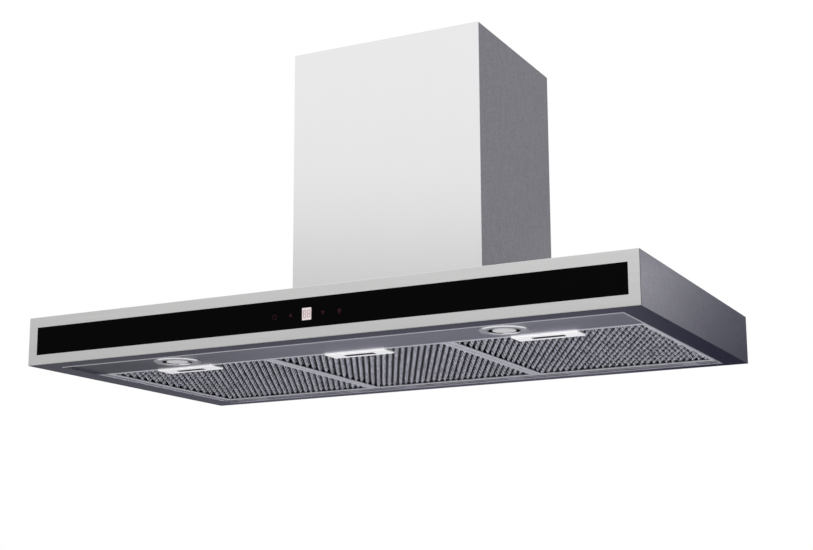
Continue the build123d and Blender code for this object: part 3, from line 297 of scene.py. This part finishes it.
makeRoom(roomLook)
makeFloor(floorLook)
for name, look in lampLooks.items():
    makeLamp(name, look)
print("studio lit")

# brushed sheet: 'grain' is how fast the brush marks change along X, Y and Z, per metre, 'below' is painted shade
# that darkens the faces that look down, 'mottle' stains the end sheets, and 'dull' is painted shade that darkens the
# panel towards its left end
steelLooks = {
    "canopySteel": {
        "tone": (0.83, 0.82, 0.89), "rough": 0.13, "grain": (900, 14, 900), "streak": 0.10,
        "below": 0.40, "mottle": 0.5},
    "frontSteel": {
        "tone": (0.82, 0.82, 0.815), "rough": 0.22, "grain": (10, 900, 900), "streak": 0.08,
        "below": 0.4, "mottle": 0.1},
    "chimneySteel": {
        "tone": (0.86, 0.86, 0.87), "rough": 0.17, "grain": (900, 900, 12), "streak": 0.03,
        "below": 1.0, "mottle": 0.6},
    "panelSteel": {
        "tone": (0.64, 0.635, 0.715), "rough": 0.34, "grain": (10, 900, 900), "streak": 0.12,
        "below": 1.0, "mottle": 0.1, "shadedLeftEnd": (-0.38, -0.04, 0.40)},
}
brushLook = {
    "coarser": 14, "slowest": 8, "even": 1.6, "fromMarks": 1.2, "fromCloud": 0.8, "gloss": (0.8, 0.4),
    "broad": {"share": 0.35, "stretch": (90, 90, 60)}, "fine": {"share": 0.65, "stretch": (420, 120, 300)},
    "underside": (-0.95, -0.6), "depth": 0.0002,
}


def brushedSteel(name, look, brush):
    steel = Finish(name, {"Metallic": 1.0, "Roughness": look["rough"]})
    marks = steel.noise(1.0, detail=2, rough=0.6, stretch=look["grain"])
    slower = tuple(max(brush["slowest"], speed / brush["coarser"]) for speed in look["grain"])
    cloud = steel.noise(1.0, detail=3, rough=0.55, stretch=slower)
    shade = 1.0 - look["streak"] * (brush["even"] - brush["fromMarks"] * marks - brush["fromCloud"] * cloud)
    sideways, facing = steel.axes(steel.add("ShaderNodeNewGeometry", output="Normal"), 0, 2)
    broad, fine = brush["broad"], brush["fine"]
    stain = broad["share"] * steel.noise(1.0, detail=3, rough=0.65, stretch=broad["stretch"])
    stain = stain + fine["share"] * steel.noise(1.0, detail=2, rough=0.7, stretch=fine["stretch"])
    shade = shade * (1.0 - look["mottle"] * (sideways * sideways) * (stain - 0.5))
    # painted shade: faces that look down get a darker base colour
    paintedShade = steel.ramp(facing, *brush["underside"], look["below"], 1.0)
    # painted shade: the light panel darkens towards its left end
    if "shadedLeftEnd" in look:
        along, = steel.axes(steel.place(), 0)
        paintedShade = paintedShade * steel.ramp(along, *look["shadedLeftEnd"], 1.0)
    tone = steel.add("ShaderNodeVectorMath", {"operation": "SCALE"}, {0: look["tone"], "Scale": shade * paintedShade})
    steady, swing = brush["gloss"]
    steel.set({"Base Color": tone, "Roughness": look["rough"] * (steady + swing * marks)})
    steel.bump(marks, look["streak"], brush["depth"])
    return steel.material


# moulded, painted or plated skins with a fine grain; 'spread' is how far the tone wanders
skinLooks = {
    "chrome": {
        "name": "lampChrome", "tone": (0.80, 0.80, 0.83), "spread": 0.05, "metal": 0.76, "rough": 0.22, "grain": 900},
    "hem": {
        "name": "satinHem", "tone": (0.46, 0.46, 0.50), "spread": 0.05, "metal": 0.5, "rough": 0.35, "grain": 500},
    "frame": {
        "name": "filterAluminium", "tone": (0.74, 0.74, 0.80), "spread": 0.08, "metal": 0.6, "rough": 0.4,
        "grain": 500},
    "handle": {
        "name": "handleLacquer", "tone": (0.93, 0.925, 0.94), "spread": 0.02, "rough": 0.35, "grain": 500,
        "depth": 0.00005, "strength": 0.1},
    "casing": {"name": "motorLacquer", "tone": (0.16, 0.16, 0.17), "spread": 0.1, "metal": 0.3, "rough": 0.4},
    "print": {"name": "keyPrint", "tone": (0.030, 0.009, 0.012), "spread": 0.1, "rough": 0.5, "gloss": 0.02},
    "digit": {"name": "digitRose", "tone": (0.34, 0.17, 0.19), "spread": 0.1, "rough": 0.4},
    "display": {"name": "displayFace", "tone": (0.70, 0.62, 0.63), "spread": 0.05, "rough": 0.3},
    "nylon": {"name": "blackNylon", "tone": (0.03, 0.03, 0.032), "spread": 0.15, "rough": 0.5},
    "plastic": {"name": "greyPlastic", "tone": (0.50, 0.50, 0.48), "spread": 0.04, "rough": 0.5},
    "board": {"name": "solderMask", "tone": (0.03, 0.16, 0.07), "spread": 0.2, "rough": 0.35, "grain": 300},
    "rubber": {"name": "mountRubber", "tone": (0.025, 0.025, 0.025), "spread": 0.2, "rough": 0.7},
    "capsule": {"name": "bulbGlass", "tone": (0.9, 0.88, 0.8), "spread": 0.02, "rough": 0.1},
}
grainLook = {
    "metal": 0.0, "gloss": 0.5, "grain": 700, "depth": 0.0001, "strength": 0.2,  # unless the skin says otherwise
    "cloud": 18, "fineShare": 0.6, "broadShare": 0.4, "roughSwing": 0.12, "shadow": 0.004,
}


def speckled(skinLook, shadow=None):
    look = {**grainLook, **skinLook}
    skin = Finish(look["name"], {
        "Metallic": look["metal"], "Roughness": look["rough"], "Specular IOR Level": look["gloss"]})
    fine = skin.noise(look["grain"])
    broad = skin.noise(look["cloud"], detail=3)
    dark, light = (
        tuple(channel * share for channel in look["tone"]) + (1.0,)
        for share in (1 - look["spread"], 1 + look["spread"]))
    colour = skin.mixColour(look["fineShare"] * fine + look["broadShare"] * broad, dark, light)
    if shadow:
        colour = skin.mixColour(shadow(skin), colour, grey(look["shadow"]))
    smoothest = look["rough"] - look["roughSwing"] / 2
    skin.set({"Base Color": colour, "Roughness": smoothest + look["roughSwing"] * fine})
    skin.bump(fine, look["strength"], look["depth"])
    return skin.material


# painted shade at the left and right ends of the opening in each lamp's ring, where its inner wall is in shade
throatLook = {"inside": 0.0203, "outside": 0.0214, "spread": (-0.012, -0.005)}


def lampThroatShade(skin):
    leftX, y, _ = middleOf("lamp_left_bezel")
    rightX = middleOf("lamp_right_bezel")[0]
    east, north = skin.axes(skin.place(), 0, 1)
    aside = abs(abs(east - (leftX + rightX) / 2) - (rightX - leftX) / 2)  # both rings at once
    behind = abs(north - y)
    inside, outside = throatLook["inside"], throatLook["outside"]
    within = skin.ramp(aside * aside + behind * behind, inside ** 2, outside ** 2, 1.0, 0.0)
    return within * skin.ramp(aside - behind, *throatLook["spread"], 0.0, 1.0)


zincLook = {
    "spangle": 90.0, "dark": (0.44, 0.45, 0.47, 1), "light": (0.62, 0.63, 0.65, 1), "rough": 0.42,
    "smoothest": 0.34, "swing": 0.18,
}


def zincSheet(look):
    zinc = Finish("zincSheet", {"Metallic": 1.0, "Roughness": look["rough"]})
    spangle = zinc.add("ShaderNodeTexVoronoi", {"feature": "F1"}, {
        "Vector": zinc.place(), "Scale": look["spangle"]}, "Color")
    level = zinc.add("ShaderNodeRGBToBW", inputs={0: spangle})
    zinc.set({
        "Base Color": zinc.mixColour(level, look["dark"], look["light"]),
        "Roughness": look["smoothest"] + look["swing"] * level})
    return zinc.material


glassLook = {"tone": 0.002, "rough": 0.06, "gloss": 0.008, "haze": 30, "smoothest": 0.05, "swing": 0.03}


def blackGlass(look):
    glass = Finish("blackGlass", {
        "Base Color": grey(look["tone"]), "Roughness": look["rough"], "Specular IOR Level": look["gloss"]})
    glass.set({"Roughness": look["smoothest"] + look["swing"] * glass.noise(look["haze"], detail=3)})
    return glass.material


# frosted lens, with painted shade in the groove between it and its ring
lensLook = {
    "dark": (0.84, 0.84, 0.87, 1), "light": (0.96, 0.96, 0.98, 1), "tone": 0.8, "rough": 0.35, "through": 0.35,
    "grain": 1600, "groove": (0.0018, 0.0032), "grooveShade": 0.01, "strength": 0.4, "depth": 0.0002,
}


def lampGlass(look):
    frost = Finish("frostedGlass", {
        "Base Color": grey(look["tone"]), "Roughness": look["rough"], "Transmission Weight": look["through"]})
    grain = frost.noise(look["grain"], detail=1)
    up, = frost.axes(frost.place(), 2)
    groove = frost.ramp(up, *look["groove"], 0.0, 1.0)
    face = frost.mixColour(grain, look["dark"], look["light"])
    frost.set({"Base Color": frost.mixColour(groove, face, grey(look["grooveShade"]))})
    frost.bump(grain, look["strength"], look["depth"])
    return frost.material


plateLooks = {
    "plated": {"name": "platedSteel", "tone": 0.62, "rough": 0.26},
    "reflector": {"name": "spunReflector", "tone": 0.85, "rough": 0.18},
}
hazeLook = {"size": 60, "dim": 0.94, "swing": 0.06}


def chromed(look, haze):
    bright = Finish(look["name"], {"Metallic": 1.0, "Roughness": look["rough"]})
    cloud = bright.noise(haze["size"], detail=3)
    bright.set({
        "Base Color": bright.mixColour(cloud, grey(look["tone"] * haze["dim"]), grey(look["tone"])),
        "Roughness": look["rough"] + haze["swing"] * cloud})
    return bright.material


# filter metal with painted shade: light up to the height 'crest' and dark from 'deep' on, up in the folds, in lumps
# along the slanted ridges, and darker in the gaps between the lumps
meshLooks = {
    "pleatMetal": {
        "crest": 0.0048, "deep": 0.0080, "light": (0.11, 0.11, 0.128, 1), "dark": (0.020, 0.020, 0.028, 1),
        "metal": 0.4},
    "strandMetal": {
        "crest": 0.0060, "deep": 0.0080, "light": (0.78, 0.78, 0.89, 1), "dark": (0.024, 0.024, 0.034, 1),
        "metal": 0.3},
}
lumpLook = {
    "slant": 28.0, "crimp": 0.023, "wave": 0.40, "grain": (330, 75, 120), "swing": 2.8, "shift": 0.0016,
    "gap": (-0.8, 0.35, 0.8), "rough": 0.5, "fleck": 420, "smoothest": 0.4, "roughSwing": 0.2,
    "strength": 0.3, "depth": 0.0003,
}


def meshMetal(name, look, lumps):
    metal = Finish(name, {"Metallic": look["metal"], "Roughness": lumps["rough"]})
    east, north, up = metal.axes(metal.place(), 0, 1, 2)
    slant, speed = math.radians(lumps["slant"]), lumps["grain"]
    across = east * math.cos(slant) + north * math.sin(slant)
    along = north * math.cos(slant) - east * math.sin(slant)
    crimp = metal.maths("SINE", along * (2 * math.pi / lumps["crimp"]))
    spot = metal.vector(across * speed[0], along * speed[1], up * speed[2])
    stir = metal.add("ShaderNodeTexNoise", inputs={"Vector": spot, "Scale": 1.0, "Detail": 2.0, "Roughness": 0.6})
    lump = crimp * lumps["wave"] + (stir - 0.5) * lumps["swing"]
    # painted shade: dark deep in the folds and in the gaps between the lumps
    height = metal.ramp(up - lump * lumps["shift"], look["crest"], look["deep"], 0.0, 1.0)
    gap = metal.ramp(lump, *lumps["gap"], 0.0)
    fleck = metal.noise(lumps["fleck"])
    metal.set({
        "Base Color": metal.mixColour(height + (1.0 - height) * gap, look["light"], look["dark"]),
        "Roughness": lumps["smoothest"] + lumps["roughSwing"] * fleck})
    metal.bump(fleck, lumps["strength"], lumps["depth"])
    return metal.material


finishes = {name: brushedSteel(name, look, brushLook) for name, look in steelLooks.items()}
finishes.update({name: speckled(look) for name, look in skinLooks.items() if name != "chrome"})
finishes.update({name: chromed(look, hazeLook) for name, look in plateLooks.items()})
finishes.update({name: meshMetal(name, look, lumpLook) for name, look in meshLooks.items()})
finishes.update({
    "chrome": speckled(skinLooks["chrome"], lampThroatShade), "zinc": zincSheet(zincLook),
    "glass": blackGlass(glassLook), "lens": lampGlass(lensLook),
})
slotFinish = {
    "canopy_steel": "canopySteel", "front_steel": "frontSteel", "chimney_steel": "chimneySteel",
    "control_glass": "glass", "control_plastic": "plastic", "circuit_board": "board", "display": "display",
    "touch_pad": "rubber", "lamp_chrome": "chrome", "lamp_lens": "lens", "lamp_reflector": "reflector",
    "lamp_bulb": "capsule", "zinc_sheet": "zinc", "motor_casing": "casing", "rubber": "rubber",
    "capacitor_can": "plastic", "black_nylon": "nylon", "bright_steel": "plated",
    "filter_frame": "frame", "filter_mesh": "pleatMetal", "filter_handle": "handle",
}
nodeFinish = {"light_panel": "panelSteel"}
for part in frame["record"]["subparts"]:
    skins = cadNodes[part["node"]].data.materials
    skins.clear()
    skins.append(finishes[nodeFinish.get(part["node"], slotFinish[part["material_slot"]])])
print("finishes given to", len(cadNodes), "nodes")


def nodeShape(name, sizes, build, finish):  # run one Geometry Nodes tree and keep its result as a plain mesh
    tree = bpy.data.node_groups.new(name, "GeometryNodeTree")
    named = {
        key: tree.interface.new_socket(key, in_out="INPUT", socket_type="NodeSocketFloat") for key in sizes}
    tree.interface.new_socket("Geometry", in_out="OUTPUT", socket_type="NodeSocketGeometry")
    shape = Shape(tree)
    result = build(shape, {key: shape.add("NodeGroupInput", output=key) for key in sizes})
    result = shape.add("GeometryNodeRealizeInstances", inputs={0: result})
    result = shape.add("GeometryNodeSetMaterial", inputs={0: result, "Material": finish})
    shape.add("NodeGroupOutput", inputs={0: result}, output=None)
    holder = bpy.data.objects.new(name, bpy.data.meshes.new(name))
    scene.collection.objects.link(holder)
    modifier = holder.modifiers.new(name, "NODES")
    modifier.node_group = tree
    for key, socket in named.items():
        modifier[socket.identifier] = float(sizes[key])
    evaluated = holder.evaluated_get(bpy.context.evaluated_depsgraph_get())
    plain = bpy.data.meshes.new_from_object(evaluated)
    holder.modifiers.clear()
    holder.data = plain
    return holder


# expanded mesh laid over each filter's pleats: zigzag strands across the folds, touching at their knees
weaveLook = {
    "pitch": 0.0085, "slant": lumpLook["slant"], "crimp": lumpLook["crimp"], "swell": 0.0003,
    "swing": 0.0024, "strand": 0.0015, "thick": 0.0005, "proud": 0.0005, "low": 0.0042, "rise": 0.0064,
    "knees": 240, "rows": 150, "margin": 0.0008, "lip": 0.008, "hook": 0.0095, "house": (0.031, 0.028),
}


def weaveTree(shape, size):
    knees, rows = weaveLook["knees"], weaveLook["rows"]
    knee, step = size["Pitch"] / 4.0, size["Swing"] * 2.0
    odd = shape.maths("MODULO", shape.add("GeometryNodeInputIndex"), 2.0)
    strand = shape.line(knees, (0, 0, 0), shape.vector(knee, 0.0, 0.0))
    strand = shape.shift(strand, shape.vector(knee * (-knees / 2), size["Swing"] * (odd * 2.0 - 1.0), 0.0))
    starts = shape.line(rows, (0, 0, 0), shape.vector(0.0, step, 0.0))
    starts = shape.shift(starts, shape.vector(odd * knee, step * (-rows / 2), 0.0))
    net = shape.add("GeometryNodeRealizeInstances", inputs={0: shape.repeat(starts, strand)})
    across, along = shape.axes(shape.add("GeometryNodeInputPosition"), 0, 1)
    fold = shape.maths("PINGPONG", across, size["Pitch"] / 2.0)
    offset = size["Middle Y"] * size["Cos"] - size["Middle X"] * size["Sin"]  # keeps the finish's crimp in step
    crimp = shape.maths("SINE", (along + offset) * (2 * math.pi / size["Crimp"]))
    height = size["Low"] + fold * size["Steepness"] - crimp * size["Swell"]
    east = across * size["Cos"] - along * size["Sin"]
    north = across * size["Sin"] + along * size["Cos"]
    net = shape.add("GeometryNodeSetPosition", inputs={0: net, "Position": shape.vector(east, north, height)})
    eastNow, northNow = shape.axes(shape.add("GeometryNodeInputPosition"), 0, 1)
    outside = (abs(eastNow) > size["Half Width"]) + (abs(northNow) > size["Half Depth"])
    house = (abs(eastNow) < size["House Half"]) * (northNow < size["House Rear"])
    net = shape.add("GeometryNodeDeleteGeometry", {"domain": "POINT"}, {0: net, 1: (outside + house) > 0.5})
    net = shape.shift(net, shape.vector(size["Middle X"], size["Middle Y"], 0.0))
    wires = shape.upright(shape.add("GeometryNodeMeshToCurve", inputs={0: net}))
    return shape.sweep(wires, shape.oblong(size["Strand"], size["Thick"]), True)


def makeWeave(side, look):
    low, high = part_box(f"filter_{side}_frame")
    slant = math.radians(look["slant"])
    front = low[1] + look["lip"] + look["margin"]
    rear = high[1] - look["hook"] - look["lip"] - look["margin"]
    centre = (front + rear) / 2
    sizes = {
        "Pitch": look["pitch"], "Swing": look["swing"], "Strand": look["strand"], "Thick": look["thick"],
        "Low": look["low"] - look["proud"], "Steepness": look["rise"] / (look["pitch"] / 2),
        "Cos": math.cos(slant), "Sin": math.sin(slant), "Crimp": look["crimp"], "Swell": look["swell"],
        "Half Width": (high[0] - low[0]) / 2 - look["lip"] - look["margin"], "Half Depth": (rear - front) / 2,
        "House Half": look["house"][0], "House Rear": front + look["house"][1] - centre,
        "Middle X": (low[0] + high[0]) / 2, "Middle Y": centre,
    }
    weave = nodeShape(f"{side}FilterWeave", sizes, weaveTree, finishes["strandMetal"])
    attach(weave, f"filter_{side}")
    print("weave on the", side, "filter:", len(weave.data.polygons), "faces")


for side in filterSides:
    makeWeave(side, weaveLook)

# lit display and printed keys, a hair proud of the control glass
controlLook = {
    "face": (0.0136, 0.016), "proud": 0.00006, "bar": 0.0030, "stroke": 0.0009, "upright": 0.8,
    "digitWidth": 0.0036, "digitHalf": 0.0046, "digitPitch": 0.0062,
}
keyLook = {  # lengths in metres, shares of the key's size, angles in radians
    "pitch": 0.024, "size": 0.0032, "line": 0.0007, "ringSteps": 28, "ringGap": 1.0, "stem": 0.75,
    "globe": 0.75, "globeSides": 24, "socket": (0.7, 0.9), "socketDrop": 0.95,
}


def faceTree(shape, size):
    plate = shape.block(size["Width"], size["Thick"], size["Height"])
    return shape.move(plate, size["X"], size["Y"], size["Z"])


def digitTree(shape, size):  # two seven-segment figures
    half, width, pitch = size["Half"], size["Figure"], size["Pitch"]
    rungs = shape.line(3, shape.vector(0.0, 0.0, half * -1.0), shape.vector(0.0, 0.0, half))
    rungs = shape.repeat(rungs, shape.block(size["Bar"], size["Thick"], size["Stroke"]))
    pair = shape.line(2, shape.vector(0.0, 0.0, half / -2.0), shape.vector(0.0, 0.0, half))
    pair = shape.repeat(pair, shape.block(size["Stroke"], size["Thick"], half * size["Upright"]))
    sides = shape.line(2, shape.vector(width / -2.0, 0.0, 0.0), shape.vector(width, 0.0, 0.0))
    figure = shape.join(rungs, shape.repeat(sides, pair))
    start = shape.vector(size["X"] - pitch / 2.0, size["Y"], size["Z"])
    return shape.repeat(shape.line(2, start, shape.vector(pitch, 0.0, 0.0)), figure)


def keyTree(shape, size):  # power ring, up and down arrows, lamp: one print per touch key
    quarter, gap, high, thick = math.pi / 2, keyLook["ringGap"], size["Size"], size["Thick"]
    ring = shape.add("GeometryNodeCurveArc", inputs={
        "Resolution": keyLook["ringSteps"], "Radius": high,
        "Start Angle": quarter + gap / 2, "Sweep Angle": 2 * math.pi - gap})
    ring = shape.sweep(ring, shape.oblong(size["Line"], thick))
    stem = shape.move(shape.block(size["Line"], high, thick), 0.0, high * keyLook["stem"], 0.0)
    arrow = shape.disc(3, high, thick)
    globe = shape.disc(keyLook["globeSides"], high * keyLook["globe"], thick)
    wide, tall = keyLook["socket"]
    socket = shape.block(high * wide, high * tall, thick)
    socket = shape.move(socket, 0.0, high * -keyLook["socketDrop"], 0.0)
    row = {  # places along the glass, in pitches from the display
        -2.0: shape.join(ring, stem),
        -1.0: shape.move(arrow, 0.0, 0.0, 0.0, (0, 0, quarter)),
        1.0: shape.move(arrow, 0.0, 0.0, 0.0, (0, 0, -quarter)),
        2.0: shape.join(globe, socket),
    }
    prints = [shape.move(piece, size["Pitch"] * place, 0.0, 0.0) for place, piece in row.items()]
    return shape.move(shape.join(*prints), size["X"], size["Y"], size["Z"], (quarter, 0, 0))


def makeControls(look, key):
    x, _, z = middleOf("display_module")
    front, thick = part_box("control_glass")[0][1], look["proud"]
    middle = {"X": x, "Z": z, "Thick": thick}
    face = nodeShape("displayFace", {
        "Width": look["face"][0], "Height": look["face"][1], "Y": front - thick / 2, **middle,
    }, faceTree, finishes["display"])
    digits = nodeShape("displayDigits", {
        "Bar": look["bar"], "Stroke": look["stroke"], "Upright": look["upright"], "Figure": look["digitWidth"],
        "Half": look["digitHalf"], "Pitch": look["digitPitch"], "Y": front - thick * 1.5, **middle,
    }, digitTree, finishes["digit"])
    keys = nodeShape("keyPrints", {
        "Size": key["size"], "Line": key["line"], "Pitch": key["pitch"], "Y": front - thick / 2, **middle,
    }, keyTree, finishes["print"])
    for piece, slot in ((face, "display"), (digits, "display"), (keys, "control_glass")):
        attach(piece, "hood")
    print("controls:", [len(piece.data.polygons) for piece in (face, digits, keys)], "faces")


makeControls(controlLook, keyLook)

# rolled hem on the flange's edge, in front of the light panel and along the bay's right side
hemLook = {
    "width": 0.0024, "rise": 0.0006, "lap": 0.0001, "side": 0.034, "front": 0.034, "rear": 0.020, "sides": 16,
}


def hemTree(shape, size):
    index = shape.add("GeometryNodeInputIndex")
    corner = shape.maths("MINIMUM", index, 1.0)
    east = blend(size["Left"], size["Right"], corner)
    north = blend(size["Front"], size["Rear"], index - corner)
    path = shape.add("GeometryNodeSetPosition", inputs={
        0: shape.line(3, (0, 0, 0), (0, 0, 0)), "Position": shape.vector(east, north, 0.0)})
    path = shape.upright(shape.add("GeometryNodeMeshToCurve", inputs={0: path}))
    bead = shape.add("GeometryNodeCurvePrimitiveCircle", inputs={"Resolution": hemLook["sides"], "Radius": 1.0})
    bead = shape.add("GeometryNodeTransform", inputs={
        0: bead, "Scale": shape.vector(size["Width"] / 2.0, size["Rise"], 1.0)})
    return shape.sweep(path, bead, True)


def makeHem(look):
    out = look["width"] / 2 + look["lap"]
    hem = nodeShape("bayHem", {
        "Left": cadBox[0][0] + look["side"], "Right": cadBox[1][0] - look["side"] + out,
        "Front": cadBox[0][1] + look["front"] - out, "Rear": cadBox[1][1] - look["rear"],
        "Width": look["width"], "Rise": look["rise"],
    }, hemTree, finishes["hem"])
    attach(hem, "hood")
    print("hem:", len(hem.data.polygons), "faces")


makeHem(hemLook)

# painted shade: a thin dark sheet in each handle's finger slot, where the slot's walls are in shade
slotShadeLook = {
    "long": 0.046, "deep": 0.012, "corner": 0.002, "cornerSteps": 4, "wall": 0.00025, "play": 0.00002,
    "setback": 0.0185, "low": 0.0009, "high": 0.0030,
}


def slotShadeTree(shape, size):
    path = shape.add("GeometryNodeFilletCurve", {"mode": "POLY"}, {
        "Curve": shape.oblong(size["Long"], size["Deep"]), "Radius": size["Corner"],
        "Count": slotShadeLook["cornerSteps"]})
    path = shape.upright(shape.move(path, size["X"], size["Y"], size["Level"]))
    return shape.sweep(path, shape.oblong(size["Wall"], size["Height"]))


def makeSlotShade(side, look):
    low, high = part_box(f"filter_{side}_handle")
    inset = look["wall"] + look["play"]
    shadeSheet = nodeShape(f"{side}SlotShadeSheet", {
        "Long": look["long"] - inset, "Deep": look["deep"] - inset, "Corner": look["corner"],
        "Wall": look["wall"], "Height": look["high"] - look["low"], "Level": (look["low"] + look["high"]) / 2,
        "X": (low[0] + high[0]) / 2, "Y": low[1] + look["setback"],
    }, slotShadeTree, finishes["nylon"])
    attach(shadeSheet, f"filter_{side}")
    print("liner on the", side, "handle:", len(shadeSheet.data.polygons), "faces")


for side in filterSides:
    makeSlotShade(side, slotShadeLook)

# latch springs: a bowed leaf behind each slider, made here as a fixed bow, though the real one flattens as the latch
# slides back
leafLook = {"thick": 0.0004, "span": 0.032, "bow": 0.005, "steps": 40, "keep": 0.08}


def leafTree(shape, size):
    start, end = (
        shape.vector(size["X"] + size["Span"] * share, size["Back"], size["Z"]) for share in (-0.5, 0.5))
    bow = shape.add("GeometryNodeCurveArc", {"mode": "POINTS"}, {
        "Resolution": leafLook["steps"], "Start": start, "End": end,
        "Middle": shape.vector(size["X"], size["Tip"], size["Z"])})
    return shape.sweep(shape.upright(bow), shape.oblong(size["Thick"], size["Height"]), True)


def makeLeaf(side, look):
    low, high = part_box(f"latch_{side}_spring")
    x, z = (low[0] + high[0]) / 2, (low[2] + high[2]) / 2
    tip = low[1] + look["thick"] / 2
    leaf = nodeShape(f"{side}LatchLeaf", {
        "X": x, "Z": z, "Tip": tip, "Back": tip + look["bow"], "Span": look["span"],
        "Thick": look["thick"], "Height": high[2] - low[2],
    }, leafTree, finishes["plated"])
    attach(leaf, f"filter_{side}")
    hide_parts(f"latch_{side}_spring")
    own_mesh(leaf)
    print("leaf behind the", side, "latch:", len(leaf.data.polygons), "faces")


for side in filterSides:
    makeLeaf(side, leafLook)
